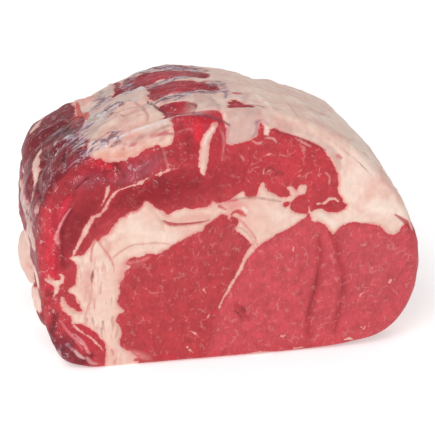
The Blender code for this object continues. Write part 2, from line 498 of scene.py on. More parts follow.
CAP = (
    (-66, -6), (-65.8, 5), (-65, 10), (-65.3, 14), (-67, 17.5), (-69, 21), (-72.5, 24), (-76, 26.8),
    (-79.6, 27.8), (-80.8, 26.6), (-82, 28.6), (-81.8, 31.5), (-84, 33.6), (-86.2, 36.5), (-87.2, 40),
    (-86.8, 43), (-85.4, 43.8), (-84, 41.3), (-82, 38.3), (-79.5, 36), (-77, 34.6), (-76.6, 35.6),
    (-77.5, 38), (-79, 41), (-79.8, 44.3), (-81.8, 45.8), (-82.4, 47.5), (-81, 49.3), (-79.2, 50.3),
    (-78.6, 55), (-78, 60), (-79, 63), (-81.3, 65.1), (-78.5, 66.4), (-75.8, 66.2), (-73, 68.5),
    (-70.5, 72), (-68.6, 74.3), (-66.8, 73.6), (-65, 75.6), (-62, 77.5), (-60, 80.5), (-58, 83),
    (-56, 85.5), (-53, 86.5), (-52, 88), (-48, 88.7), (-45.5, 90.3), (-44.3, 92.5), (-43, 93.5),
    (-41, 92), (-38, 89.3), (-35, 87.6), (-32.5, 85.6), (-29, 87.2), (-26, 87.8), (-24.6, 89),
    (-22.5, 88), (-17, 87.7), (-13, 88.5), (-11, 90.2), (-10, 92.4), (-9, 91), (-6, 90.2), (-2, 91),
    (0.5, 92.3), (3, 94.3), (5.2, 95.3), (6.5, 92.5), (9, 91.3), (11.5, 92), (12.6, 95), (14.2, 98.6),
    (15.6, 98.8), (16.3, 96), (19, 93.6), (22.5, 91.3), (26, 90.2), (28.3, 91), (28.5, 93), (27, 95.7),
    (30.3, 95.5), (32, 93.6), (33.5, 96), (36.6, 96.3), (37, 93.5), (35.8, 91.2), (32.5, 90.6),
    (30.5, 88.5), (28.8, 86.2), (29.3, 83.5), (31.5, 81.8), (35, 80.4), (38, 80.4), (41, 82.3),
    (45, 82.6), (47, 80.8), (50.5, 80.2), (54.5, 80.2), (57, 81.7), (57.9, 83.3), (56.2, 85),
    (55.5, 87.5), (53.3, 90), (53, 95), (52.6, 100), (50.8, 104.5), (49.2, 108), (47, 111.5),
    (44.3, 115), (40, 117.7), (36, 119.6), (32, 121.4), (28, 123.2), (24, 124.8), (20, 127.4),
    (18.4, 126), (17, 123.8), (15.2, 124.8), (15, 128.5), (13.6, 130.6), (12.4, 128), (12, 124.5),
    (9, 122.3), (5, 121), (0, 120.3), (-3, 121), (-3.6, 124), (-3.4, 128), (-5, 132.5), (-9, 142),
    (-27, 143), (-28.6, 134), (-28.2, 127), (-29.5, 122.8), (-32, 121.2), (-35, 120.7), (-37, 122.3),
    (-39, 121.3), (-43, 120.3), (-47, 118.3), (-51, 116.6), (-55, 115.3), (-60, 115.6), (-66, 116.3),
    (-71, 116.8), (-76, 117), (-84, 116), (-102, 104), (-106, 70), (-104, 20), (-92, -4), (-74, -8),
)
# Thin fat on the lean of the cut: a path and its widths along it
CUT_FAT = (
    (((-79.6, 66.8), (-78, 70), (-75.5, 74.5), (-73.5, 78.5), (-71.5, 82.5), (-69, 86.5), (-66, 88),
      (-63, 90.7), (-61, 95), (-57.5, 99.3), (-54, 101), (-49.5, 102.2), (-45.5, 103.5), (-42, 105.8),
      (-38, 107.3), (-34, 108.3), (-30.5, 109.5), (-25, 109.9)),
     (1.2, 1.7, 2.8, 2.4, 1.6, 1.5, 1.5, 1.5, 1.4, 1.2, 0.9, 0.5)),
    (((-65, 92.5), (-63, 96), (-61.8, 99.5), (-61, 102.5), (-59.5, 104.5)), (0.7, 1.2, 1.6, 1.2, 0.5)),
    (((-14.8, 106.4), (-14.8, 112), (-14.2, 118), (-13.2, 124), (-10.6, 128), (-9, 131)),
     (2.2, 4.8, 5.0, 4.4, 3.8, 3.4)),
    (((10.4, 63.6), (7.3, 59.5), (5, 54.5), (2, 49), (-1, 43.5), (-3.5, 38.5), (-5.5, 35), (-7, 31)),
     (3.2, 2.8, 2.0, 1.6, 1.5, 1.4, 1.3, 0.8)),
    (((-81, 27.3), (-77.5, 23.5), (-73, 19.5), (-69, 15), (-66.3, 11)), (1.2, 1.0, 1.0, 1.0, 0.5)),
    (((-86, 27), (-81.5, 21), (-78, 17), (-75.5, 13.5), (-74, 9)), (0.5, 0.9, 1.0, 0.7, 0.4)),
    (((-86.8, 57), (-85, 55), (-86, 52.6), (-89, 51.4)), (0.4, 1.0, 1.6, 1.2)),
    (((-90.5, 43), (-88.8, 46.5), (-88.6, 50), (-91, 54), (-92.5, 60)), (0.5, 0.8, 1.0, 1.4, 1.4)),
    (((-86.5, 72), (-87.4, 79), (-85, 84), (-82.5, 89)), (0.4, 0.8, 0.9, 0.4)),
    (((42.5, 85.3), (46, 85.5), (48.5, 87.2), (51.5, 87.3), (53.6, 85.5)), (0.8, 1.4, 1.5, 1.2, 0.6)),
    (((38.8, 80.2), (38.4, 84), (38.2, 88)), (1.6, 0.8, 0.3)),
    (((15, 113), (18, 114), (21, 113.4)), (0.4, 1.0, 0.4)),
    (((15, 104), (15.6, 107)), (0.9, 0.5)),
    (((-15, 42.3), (-13.6, 40.4)), (0.9, 0.7)),
    (((-16.5, 25), (-14, 25.2), (-12.2, 27.2), (-12.4, 29)), (0.4, 0.9, 0.9, 0.4)),
    (((-24, 19), (-20.5, 18), (-18, 15.5), (-15, 12.6)), (0.5, 1.2, 0.7, 0.4)),
    (((-23.5, 9.5), (-22, 7.4), (-20, 5.6)), (0.5, 1.1, 0.4)),
    (((25, 11.5), (26.6, 10.8), (28, 12)), (0.8, 0.9, 0.5)),
    (((66, 30.6), (67.5, 32.6), (70, 34)), (0.5, 1.0, 0.5)),
    (((68, 12.5), (69.5, 11), (70, 13)), (0.7, 1.0, 0.5)),
    (((30.4, 59.5), (30.7, 62), (29.6, 64)), (0.9, 0.9, 0.4)),
    (((82, 37.6), (82.4, 39.6)), (1.2, 0.8)),
    (((59.5, 5.4), (62, 5.8), (64, 4.6)), (0.8, 2.0, 0.8)),
    (((8, 1.2), (15, 1.6), (22, 0.8)), (0.6, 2.0, 0.6)),
    (((33, 2.5), (38, 2.6)), (1.0, 0.6)),
)
# Lean specks inside the fat of the cut
CUT_LEAN = (
    (((26.6, 86.4), (27.4, 86.6)), (2.4, 2.4)),
    (((39.2, 77.6), (38.6, 79.2), (37, 81)), (1.4, 1.1, 1.0)),
    (((-50, 3.6), (-46, 4.6), (-43, 3.4)), (1.4, 2.4, 1.4)),
    (((-1, 83), (1.5, 84.2), (4.5, 82.6)), (0.5, 1.2, 0.5)),
)
# Thin lines on the cut, some of them painted highlights on crests and painted shade in grooves: path, widths,
# colour, and how far each lifts the surface, or sinks it
CUT_LINES = (
    # Pale fold across the slab, with a painted highlight on its crest
    (((-70, 119.8), (-66, 121.8), (-62, 123.7), (-50.4, 126.7), (-43.7, 129.7), (-37.7, 131.6), (-30, 134)),
     (0.4, 1.1, 0.5, 0.9, 0.3, 0.8, 0.2), "ece0dc", 0.7),
    # Painted shade in the crease beside that fold
    (((-57, 123.6), (-50, 125), (-43.4, 127.9), (-37.4, 129.9), (-31, 131.8)),
     (0.3, 0.6, 0.8, 0.7, 0.3), "a98079", -0.8),
    (((-55, 123.8), (-50.5, 123), (-46.3, 123.4), (-42, 125.3), (-38.7, 126.8), (-33, 128), (-28.6, 127.6)),
     (0.4, 1.3, 1.1, 0.7, 0.7, 1.0, 0.5), "c65c66", -0.9),
    (((-62, 119.6), (-56, 121), (-51, 120.8)), (0.3, 0.7, 0.3), "d07b72", -0.4),
    (((43.6, 50), (43.2, 42), (42, 34)), (0.3, 0.8, 0.3), "8a2c34", -0.6),
    (((41, 33), (39.6, 26), (38.4, 19)), (0.3, 0.7, 0.3), "8e2e36", -0.5),
    (((56.6, 44), (57, 38), (56, 32)), (0.3, 0.6, 0.3), "963440", -0.4),
    (((1, 29), (3.5, 26), (5, 22)), (0.3, 0.7, 0.3), "7f2830", -0.5),
    (((4.5, 30.5), (6.8, 27.4)), (0.4, 0.6), "7f2830", -0.5),
    (((-34.6, 82.2), (-31.5, 80.4), (-27, 79.7), (-22, 79.7), (-16, 80.2), (-12, 81)),
     (0.6, 1.5, 1.2, 0.9, 0.6, 0.2),
     "bd3a44", -0.9),
    (((-60, 64), (-56, 67.3), (-51, 70), (-45, 70.6), (-37, 70.5), (-31, 69.2)), (0.4, 0.6, 0.4, 0.5, 0.2),
     "d49388", -0.4),
    (((83, 76), (86.5, 73.2), (89, 71), (91.5, 68.5)), (0.4, 1.2, 1.8, 2.4), "b3333c", -0.4),
    (((3, 80.4), (6, 77), (8.8, 73.2), (11, 69.6), (12.4, 65)), (0.4, 0.9, 0.7, 0.9, 0.5), "d88880", -0.2),
    (((0.8, 75.4), (4, 75.2), (7, 72.5), (9.5, 68.7), (11.2, 65.5)), (0.4, 0.6, 0.5, 0.6, 0.4),
     "cf9a90", -0.4),
    (((-66.4, 73), (-64, 68.5), (-61.6, 64.5), (-60, 60)), (0.8, 0.7, 0.9, 0.5), "d4827a", -0.3),
    (((-68.5, 74.5), (-70.4, 69), (-71, 63)), (0.8, 0.7, 0.3), "d07a72", -0.3),
    (((-70.2, 58), (-70.6, 54.5), (-70.9, 51.5)), (0.4, 1.2, 0.4), "8f4742", -0.5),
    (((-71, 51), (-71.5, 43), (-74, 35), (-74.8, 28)), (0.3, 0.5, 0.5, 0.3), "d39a8e", -0.3),
    (((-66.8, 48.4), (-66.9, 44.6)), (0.6, 0.5), "c08879", -0.2),
    (((-66, 28.5), (-66.4, 24)), (0.8, 0.5), "b9887a", -0.3),
    (((-61, 31), (-61.6, 28.5), (-60.6, 26)), (0.4, 0.6, 0.4), "c99587", -0.2),
    (((-71.3, 31), (-70.9, 28)), (0.7, 0.5), "b98a7c", -0.3),
    (((-74.2, 31), (-74.4, 28.4)), (0.7, 0.6), "b98a7c", -0.3),
    (((-62, 11.5), (-61.4, 8)), (0.7, 0.5), "c58e80", -0.2),
    (((1, 91.6), (6, 91.6), (12, 91.4), (18, 90), (24, 88.3)), (0.4, 0.5, 0.5, 0.6, 0.5), "b58f84", -0.4),
    (((0, 84.2), (3, 84.6), (6.2, 82)), (0.8, 1.8, 0.8), "c8434b", -0.2),
    (((-7, 88.4), (-4, 86.6)), (1.2, 0.8), "c5525a", -0.2),
    (((-3, 90.3), (2, 91)), (0.6, 0.9), "cc5c62", 0.0),
    # Painted highlight: a pale spot of light on the fat
    (((4.8, 86.6), (6.4, 84.8)), (1.2, 1.6), "f0d8cb", 0.3),
    (((52.3, 110.6), (54, 109.4)), (1.6, 1.0), "d2777a", -0.2),
    (((53.6, 121.8), (54.2, 121.6)), (0.6, 0.6), "6d5a55", 0.0),
    (((18, 126.8), (25, 124.4), (33, 121), (40, 117.6), (46, 113.6)), (0.3, 0.6, 0.4, 0.6, 0.3),
     "9a3440", -0.3),
    (((-28, 136), (-20, 136.6), (-12, 135.6), (-6, 133), (-2, 130.6)), (0.6, 0.9, 0.9, 1.1, 0.7),
     "8c3846", -0.5),
    (((-86.2, 74), (-86.6, 80), (-83.4, 87), (-80, 92)), (0.5, 0.9, 0.9, 0.4), "e88f98", 0.3),
    (((-80.4, 22), (-76.6, 17), (-73.4, 10)), (0.5, 1.2, 0.5), "dd8c90", 0.2),
    (((-87, 30), (-84, 24), (-80, 18.4), (-77, 13)), (0.5, 1.0, 1.0, 0.5), "d46a74", 0.2),
    (((-84.5, 16.4), (-82, 13.2)), (1.4, 0.9), "c08c96", 0.3),
    (((-80.8, 12.4), (-78.6, 9.2), (-76.4, 7.4)), (1.0, 1.6, 0.8), "d8aeae", 0.3),
    (((-74.6, 7.4), (-72.6, 4.4), (-70, 3.6)), (1.2, 1.8, 1.0), "cf8a8c", 0.3),
    (((-93, 54), (-91.6, 52.6)), (1.6, 1.2), "dca8a0", 0.3),
    (((3.4, 114.2), (4.8, 113.2), (5.2, 111.6)), (0.3, 0.5, 0.3), "d98a88", 0.1),
    (((9.6, 121.6), (12, 120.2), (14.2, 120.6)), (0.3, 0.6, 0.3), "dc9894", 0.1),
    (((16, 122.8), (19.6, 122.2), (21.4, 120)), (0.4, 0.6, 0.3), "dea09a", 0.1),
    (((31, 121.6), (35, 118.8), (38.4, 116.6)), (0.3, 0.5, 0.3), "dc9a96", 0.1),
    (((46.4, 102), (48.4, 99.6), (48.4, 96)), (0.3, 0.5, 0.3), "d98f8c", 0.1),
    (((16, 105), (18, 107), (20.5, 105.6)), (0.4, 0.5, 0.4), "7e3236", -0.3),
    (((21, 103), (23, 104.4), (25, 103)), (0.4, 0.5, 0.4), "7e3236", -0.3),
)
# Soft bands on the cut, some of them painted shade in grooves and painted highlights on ridges: path, widths,
# softness, colour, strength, lift
CUT_SHADES = (
    (((-91, 56), (-90, 70), (-88.2, 80), (-84.5, 90), (-80, 98)), (4, 5, 4.5, 4, 3),
     1.4, "d53c50", 0.75, 1.6),
    (((-78, 104), (-70, 107), (-62, 106)), (4, 7, 4), 2.6, "9a4a58", 0.7, 0.3),
    (((-56, 105), (-48, 108), (-40, 112), (-36, 117)), (4, 8, 7, 4), 2.6, "a65a68", 0.7, 0.4),
    (((-84, 60), (-83, 70), (-80, 80), (-75, 90)), (2, 4, 4, 3), 2.2, "952b38", 0.6, -0.3),
    # Painted shade in the groove beside the raised flap
    (((-84.8, 62), (-84.6, 74), (-83.4, 82), (-80.6, 89), (-77, 95)), (0.6, 1.4, 1.4, 1.2, 0.4),
     0.9, "8a2631", 0.8, -0.9),
    (((-76, 115), (-68, 115.2), (-60, 113.4), (-56, 112)), (1.5, 3.5, 3.0, 1.0), 1.4, "d23345", 0.9, 0.3),
    (((-57, 113), (-53, 107.5)), (2, 2), 1.4, "7f2a33", 0.7, -0.4),
    (((-34.2, 120.5), (-33, 115), (-32, 110.5)), (0.5, 0.9, 0.5), 0.6, "dfa6a2", 0.8, 0.2),
    # Pale fold across the slab, with a painted highlight on its crest
    (((-70, 120.6), (-62, 124.4), (-52, 127.6), (-42, 129.8), (-31, 132.6)), (1.4, 1.8, 1.6, 1.8, 1.0), 0.9,
     "ecd9cf", 0.8, 1.7),
    # Painted shade in the groove below that fold
    (((-69, 118.6), (-61, 122.2), (-51, 125.2), (-41, 127.2), (-31, 129.4)), (1.0, 1.4, 1.4, 1.4, 0.8), 0.8,
     "b56a66", 0.75, -1.5),
    (((-56, 120), (-47, 122), (-38, 124.6)), (1, 1.6, 1), 0.9, "d99c92", 0.7, -0.6),
    (((-70, 119.4), (-60, 118.6), (-50, 119.6), (-42, 122.4)), (1.6, 2.4, 1.8, 0.6),
     1.0, "e39c86", 0.75, 0.4),
    (((-70, 119), (-66, 121.5), (-62, 122)), (3, 4, 2), 1.4, "c9bcb6", 0.8, 0.3),
    (((-36, 124), (-33, 128), (-33.5, 131)), (1.5, 2.4, 1.2), 1.0, "c58d86", 0.7, -0.4),
    (((-31, 131.6), (-22, 132.4), (-12, 131.6), (-4, 129)), (0.8, 1.2, 1.2, 0.6), 0.8, "b9606c", 0.5, 0.5),
    (((-27, 128.6), (-22, 129.8), (-16, 129)), (0.5, 0.8, 0.4), 0.6, "e8a4aa", 0.7, 0.2),
    (((-13.8, 122), (-12.6, 127), (-10.4, 130.6)), (0.5, 0.8, 0.5), 0.6, "f6e6dc", 0.8, 0.3),
    (((-5.4, 112.6), (-4.6, 121), (-5.2, 127)), (0.5, 0.8, 0.4), 0.6, "e3a7a5", 0.7, 0.1),
    (((-7.5, 131), (-4.5, 124.6), (-3.6, 121)), (0.4, 0.8, 0.4), 0.6, "e0b4b2", 0.8, 0.3),
    (((-66, 81), (-60, 84.6), (-56, 88.4)), (0.3, 0.7, 0.3), 0.6, "c4545e", 0.7, 0.0),
    (((-27, 134.4), (-18, 134), (-9, 132)), (2.2, 3.4, 1.6), 1.2, "c22f40", 0.9, 0.5),
    (((-17.5, 131), (-16.8, 124)), (4.0, 3.0), 1.4, "dc3344", 0.95, 0.2),
    (((-25, 131), (-22, 126), (-22, 120)), (3, 4, 2), 2.0, "96383d", 0.6, -0.3),
    (((-6.5, 130), (-7.2, 123), (-9, 117)), (1.6, 2.0, 1.0), 1.2, "b03a48", 0.7, -0.3),
    (((-34, 84.5), (-28, 82.8), (-20, 82.8), (-13, 83.6)), (2, 3.2, 3, 1.5), 1.4, "e4aca0", 0.8, 0.4),
    # Painted shade along the ledge in the fat's upper left
    (((-41.5, 90.5), (-38, 85.5), (-35, 81), (-34.6, 76)), (0.8, 1.4, 1.2, 0.6), 1.2, "dbab9c", 0.8, -0.5),
    # Painted highlight on the fat's left edge
    (((-52.5, 86.6), (-47.5, 87.6), (-44, 91)), (1.2, 1.8, 0.8), 0.9, "f8e8dc", 0.9, 0.3),
    (((-43, 92), (-46, 86), (-51, 80), (-57, 74), (-62, 67)), (0.8, 1.6, 2, 2, 1),
     1.8, "dfb5a5", 0.6, -0.5),
    (((-50, 84), (-46, 79), (-40, 76.5), (-33, 75.5)), (2, 4, 4, 2), 2.2, "efd2c4", 0.8, 0.6),
    (((-60, 76), (-55, 79), (-50, 80)), (2, 3, 2), 1.8, "f3dacb", 0.7, 0.3),
    (((-52, 66), (-44, 67.4), (-36, 68)), (1, 1.8, 1), 1.2, "f0d0c2", 0.7, 0.3),
    (((-30, 77.6), (-20, 78.2), (-12, 80)), (1.2, 1.6, 0.8), 1.2, "eebfb2", 0.7, 0.2),
    (((-63, 66), (-61.6, 72), (-64.5, 75.8)), (1.5, 2.6, 1), 1.2, "dda39a", 0.7, -0.2),
    (((12, 84), (20, 84), (27, 81)), (3, 4, 2), 2.2, "f3d9ca", 0.7, 0.4),
    (((18, 73), (24, 77), (30, 80)), (1.2, 1.6, 1), 1.4, "e2b0a4", 0.5, -0.3),
    (((44, 80), (48, 77), (52, 73)), (1.5, 2.4, 1.4), 1.4, "f6e4d8", 0.7, 0.3),
    (((56, 100), (58, 108), (54, 116)), (1.2, 2, 1.2), 1.6, "e6c2b4", 0.6, -0.4),
    (((60, 84), (66, 79), (76, 76.4)), (1.4, 2.2, 1.2), 1.6, "e8c8ba", 0.6, -0.3),
    (((64, 96), (72, 90), (80, 84)), (2, 3, 1.5), 1.8, "f0cfc4", 0.6, 0.2),
    (((-54, 62), (-56.6, 56), (-57, 50)), (3, 5, 2), 1.6, "e4a7a0", 0.8, 0.0),
    (((-52, 60.5), (-46, 61.4), (-42, 63)), (1.5, 1.6, 0.8), 0.9, "dc9490", 0.8, 0.1),
    (((-50, 58), (-45, 59.5)), (1.5, 1.0), 1.2, "cf7a7a", 0.7, 0.0),
    (((-56, 9), (-50, 7), (-44, 4.5)), (2, 5, 3), 1.8, "e0a79f", 0.7, 0.2),
    (((-36, 5), (-30, 3)), (2.5, 2.5), 1.6, "d23c4c", 0.7, 0.0),
    # Painted lilac shade along the left and right edges of a lobe in the clear patch
    (((-2.4, 121.6), (-3, 126), (-1.6, 130.6)), (1.6, 1.8, 1.2), 0.9, "bf8a92", 0.8, -0.2),
    (((9.6, 123.6), (12, 127), (11.6, 131.4)), (1.2, 2.0, 1.6), 1.0, "a8808c", 0.8, -0.2),
    # Painted purple shadow
    (((11.6, 130.4), (14.4, 131.6), (17, 129.6)), (1.2, 2.2, 1.0), 1.0, "a04a62", 0.8, -0.2),
    (((12, 134), (21, 131.2), (31, 127.8), (41, 123), (50, 117.6), (58, 110)),
     (1, 1, 1, 1.2, 1.2, 0.6), 1.1,
     "dfa79e", 0.7, 0.3),
    (((-85.4, 40.5), (-82, 36), (-77.5, 33)), (0.5, 0.8, 0.5), 0.9, "b9796f", 0.5, -0.3),
    (((-90, 33), (-91.5, 24), (-89.6, 14), (-83, 6.4), (-75, 3.4)), (3, 4, 5, 4, 2),
     2.2, "6e2030", 0.85, 0.0),
    (((-82, 10.5), (-77, 6.4), (-72.5, 9)), (4, 5, 3), 1.8, "6c2029", 0.75, -0.3),
    (((-73.6, 47), (-72.4, 55), (-72.6, 62)), (2, 3, 1.5), 1.2, "e9b0aa", 0.7, 0.0),
    (((78, 70), (81, 66.6), (84.6, 66)), (1.2, 1.6, 1.2), 1.0, "dcb4a4", 0.6, -0.2),
    (((58, 90), (66, 84), (78, 79), (88, 76)), (2, 3, 3, 1), 2.0, "fbeadc", 0.6, 0.3),
)
LOWER_FLANK = ((-66, -6), (-65, 10), (-69, 21), (-79.5, 28), (-86, 37), (-94, 40), (-100, 20), (-86, -6))
# The grey, half clear layer between the cap and the outer fat, and the clear patch at the top
GREY_BAND = (
    (0, 131), (8, 131.5), (16, 129.5), (19, 127.6), (28, 123.6), (36, 120), (44.5, 115.4), (49.5, 108.4),
    (52, 103), (54.5, 104), (53, 110), (50, 115), (44, 120.5), (36, 125.5), (28, 129.5), (20, 133),
    (10, 140),
)
CLEAR_PATCH = (
    (-2.6, 121), (2, 120.5), (8, 122), (12, 124.5), (13, 130), (11, 137), (4, 142), (-3, 138), (-3, 128),
)

# The eye's two muscles meet here: the one on its right is a lighter red
EYE_SEAM = ((-14, 0), (-7, 31), (5, 54.5), (12, 70))
EYE_TINTS = (
    ((74, 48), (20, 32), 0, 0.7, "c26066"),
    ((0, 70), (30, 14), 20, 0.6, "b8555a"),
)
# Darker folds between the parts of the eye, and grooves in the cut
EYE_CREASES = (
    (((43.5, 66), (44.5, 55), (44, 46), (42.5, 36), (40.5, 26), (39.5, 16), (40, 9)),
     (1.0, 1.4, 1.6, 0.8, 0.3)),
    (((51.2, 68), (53, 62), (55, 52), (57.5, 44), (58, 38), (56, 30), (55, 20), (54, 12)),
     (1.0, 0.9, 0.8, 0.3)),
    (((2, 32), (5, 28), (7, 24)), (0.8, 1.6, 0.6)),
)
CUT_CREASES = (
    (((10, 64), (5, 54.5), (-1, 43.5), (-7, 31)), (1.6, 0.8, 0.6, 0.2)),
    (((51.2, 68), (53, 62), (55, 54)), (1.4, 0.7, 0.2)),
    (((-34, 82), (-27, 79.8), (-16, 80.2)), (0.8, 0.8, 0.2)),
)

# Where film sticks to the cut, and with it its painted sheen and glints: centre, half sizes, turn, strength
CUT_FILM = (
    ((-46, 111), (15, 8), 24, 0.22), ((-70, 104), (14, 7), 10, 0.20), ((-86, 12), (8, 16), -38, 0.40),
    ((-90, 112), (12, 14), 30, 0.60), ((-74, 117), (9, 6), 30, 0.75), ((-94, 78), (3.5, 22), -2, 0.22),
    ((-70, 121), (8, 4), 20, 0.40),
)

# Colours of the lean on the cut: centre, half sizes, turn, strength, colour
CUT_LEAN_TINTS = (
    ((-38, 98), (60, 16), 12, 1.0, "93222f"),
    ((-75, 85), (14, 34), -30, 0.9, "8b222f"),
    ((30, 108), (46, 26), -25, 0.9, "c4464f"),
    ((5, 104), (20, 14), 0, 0.6, "b03642"),
    ((-66, 110), (24, 13), 8, 0.9, "a4263a"),
    ((-17, 124), (22, 24), 0, 0.95, "a92c3b"),
    ((-17, 130), (9, 8), 0, 0.8, "cf4152"),
    ((-90, 66), (8, 34), -2, 1.0, "c8364a"),
    ((-84, 92), (7, 16), -28, 0.7, "b03044"),
    ((-83, 70), (7, 26), -4, 0.6, "9e303c"),
    ((-76, 20), (18, 16), -45, 0.9, "bf3d4b"),
    ((-87, 14), (9, 18), -38, 0.9, "7e2e3c"),
    ((-48, 112), (15, 10), 20, 0.85, "a03f4f"),
    ((50, 84), (12, 6), 0, 0.7, "b53641"),
    ((92, 48), (7, 34), 6, 0.5, "d5474e"),
    ((-45, 3), (20, 7), 0, 0.5, "c93a48"),
)
CUT_FAT_TINTS = (
    ((-67, 38), (16, 46), 0, 0.8, "ecc8ba"),
    ((-71.5, 48), (4, 22), 0, 0.8, "e8b3aa"),
    ((-76, 58), (4, 18), 0, 0.7, "e3ccba"),
    ((-58, 8), (14, 12), 0, 0.6, "e6b5a8"),
    ((0, 88), (12, 6.5), 0, 0.95, "e0948c"),
    ((7, 78), (8, 9), 30, 0.5, "e6aca1"),
    ((-22, 84), (14, 4), 0, 0.5, "e4b6a6"),
    ((33, 93), (6, 7), 0, 0.7, "e6aca4"),
    ((-50, 119), (36, 4.5), 6, 0.95, "df9081"),
    ((-50, 126), (34, 5), 12, 0.85, "dda99c"),
    ((-14, 116), (8, 18), 0, 0.6, "e3b3a8"),
    ((-84, 36), (8, 14), 30, 0.5, "e3c4b2"),
    ((60, 122), (22, 12), -42, 0.5, "f4dccb"),
)


def tinted(points, base, tints):
    """A colour for each point: the base, with soft ovals of other colours laid over it in turn."""
    return laid_over(points, np.tile(colour(base), (len(points), 1)), tints)


def laid_over(points, tone, tints):
    """The points' colours with soft ovals of other colours laid over them in turn."""
    for centre, half_sizes, turn, strength, text in tints:
        tone = mix(tone, colour(text), strength * spot(points, centre, half_sizes, turn))
    return tone


def widest(points, bands):
    """The largest signed distance into any of several bands."""
    return np.max([stroke(points, path, widths) for path, widths in bands], axis=0)


def lined(p, lines):
    """Thin lines: the signed distance into the nearest, its colour, and the lift that they give together."""
    inside = np.stack([stroke(p, path, widths) for path, widths, tone, lift in lines])
    tones = np.array([colour(tone) for path, widths, tone, lift in lines])
    lifts = np.array([lift for path, widths, tone, lift in lines])
    return inside.max(0), tones[inside.argmax(0)], (lifts[:, None] * smooth(-0.9, 0.3, inside)).sum(0)


def shade(p, look, shades):
    """Lays soft coloured bands over the lean and the fat, and lifts the surface under them. Some bands are
    painted shade, some painted highlights.
    """
    for line, widths, soft, tone, strength, lift in shades:
        weight = smooth(-soft, soft, stroke(p, line, widths))
        look["lean"] = mix(look["lean"], colour(tone), strength * weight)
        look["pale"] = mix(look["pale"], colour(tone), strength * weight)
        look["relief"] = look["relief"] + lift * weight


def cut_pattern(p):
    """The cut, at places x, z on its plane."""
    eye, cap = patch(p, EYE), patch(p, CAP)
    clear, band = patch(p, CLEAR_PATCH), patch(p, GREY_BAND)
    fat = np.maximum(-np.maximum(eye, cap), widest(p, CUT_FAT))
    fat = np.minimum(fat, -widest(p, CUT_LEAN))
    lean = tinted(p, CAP_RED, CUT_LEAN_TINTS)
    in_eye = smooth(-1, 1, eye)
    seam_x, seam_z = np.transpose(EYE_SEAM)
    right_of_seam = smooth(-3, 3, p[:, 0] - np.interp(p[:, 1], seam_z, seam_x))
    eye_tone = tinted(p, EYE_RED, ())
    eye_tone = mix(eye_tone, colour(EYE_LIGHT_RED), right_of_seam)
    for path, widths in EYE_CREASES:
        eye_tone = mix(eye_tone, colour(CREASE_RED), 0.75 * smooth(-3.2, 0.6, stroke(p, path, widths)))
    eye_tone = laid_over(p, eye_tone, EYE_TINTS)
    eye_tone = mix(eye_tone, colour(LOW_EYE_RED), 0.7 * smooth(9, 0, p[:, 1]))
    lean = mix(lean, eye_tone, in_eye)
    lower = smooth(-2, 2, patch(p, LOWER_FLANK))
    pale = tinted(p, INNER_FAT_CREAM, CUT_FAT_TINTS)
    outer = smooth(45, 62, p[:, 0]) * smooth(70, 80, p[:, 1])
    pale = mix(pale, colour(OUTER_FAT_CREAM), 0.8 * outer)
    pale = mix(pale, colour(BAND_GREY), 0.9 * smooth(-1.2, 1.2, band))
    pale = mix(pale, colour(CLEAR_GREY), 0.9 * smooth(-0.8, 0.8, clear))
    edge = np.exp(-(np.abs(fat) / 1.2) ** 2)
    relief = 0.5 * smooth(0.2, 3, fat) - 0.35 * edge
    relief += 0.6 * smooth(0, 14, eye)
    relief -= 0.6 * smooth(-1.5, 0.5, widest(p, CUT_CREASES))
    speckle = np.max([strength * spot(p, c, h, t) for c, h, t, strength in CUT_FILM], axis=0)
    marble = 0.3 + 0.7 * in_eye + 1.3 * smooth(-10, 15, p[:, 0]) * smooth(92, 100, p[:, 1]) - 0.1 * lower
    # Where the lean is wet: frayed more, and given painted glints of light
    wet = np.maximum(smooth(-12, -45, p[:, 0]) * smooth(95, 108, p[:, 1]), smooth(-80, -90, p[:, 0]))
    strands = 0.12 + 0.6 * smooth(-50, -58, p[:, 0]) * smooth(68, 56, p[:, 1])
    line, line_tone, line_lift = lined(p, CUT_LINES)
    look = {
        "fat": fat,
        "line": line,
        "line_tone": line_tone,
        "lean": lean,
        "pale": pale,
        "film": speckle,
        "marble": np.where(fat > 0.4, strands, marble),
        "loose_and_sparkle": np.where(fat > 0.4, 0.2, 0.08 + 0.8 * wet),
        "relief": relief + line_lift,
    }
    shade(p, look, CUT_SHADES)
    return look


# The outside, as s and depth
SIDE_LEAN = (
    (-40, -8), (60, -8), (110, -8), (152, -6), (155, 5), (156.5, 12), (155, 20), (152, 28), (151, 36),
    (155, 43), (157, 52), (154, 62), (151, 74), (149, 86), (147, 96), (145, 120), (20, 122), (-40, 122),
)
TOP_LEAN = (
    ((197, -6), (209, -6), (209, 8), (210.5, 13), (209, 19), (204, 20), (198, 19), (194.5, 16), (196, 8)),
    ((192, 37), (197, 35), (202, 39), (210, 37.5), (217, 35), (224, 33), (228, 38), (224, 47), (219, 52),
     (212, 54), (206, 58), (201, 57), (197, 60), (192, 61), (193, 50)),
    ((186, 70), (189, 65), (193, 64), (194, 71), (200, 73), (207, 70), (213, 66), (221, 69), (228, 73),
     (228, 81), (225, 88), (217, 90), (208, 91), (198, 93), (190, 92), (185, 86)),
    ((175, 72), (178, 69), (180, 74), (179, 86), (179, 98), (176, 99), (175, 86)),
    ((181, 76), (184, 72), (186, 78), (187, 92), (184, 100), (181, 96)),
    ((222, 3), (226, 6), (228.5, 12), (231, 15), (235, 12), (239, 8), (239, 2), (231, 1)),
    ((203, 94), (210, 92), (219, 95), (222, 100), (214, 103), (204, 101)),
)
RIGHT_LEAN = ((352, -8), (356, 10), (354, 40), (358, 70), (356, 120), (600, 122), (600, -8))
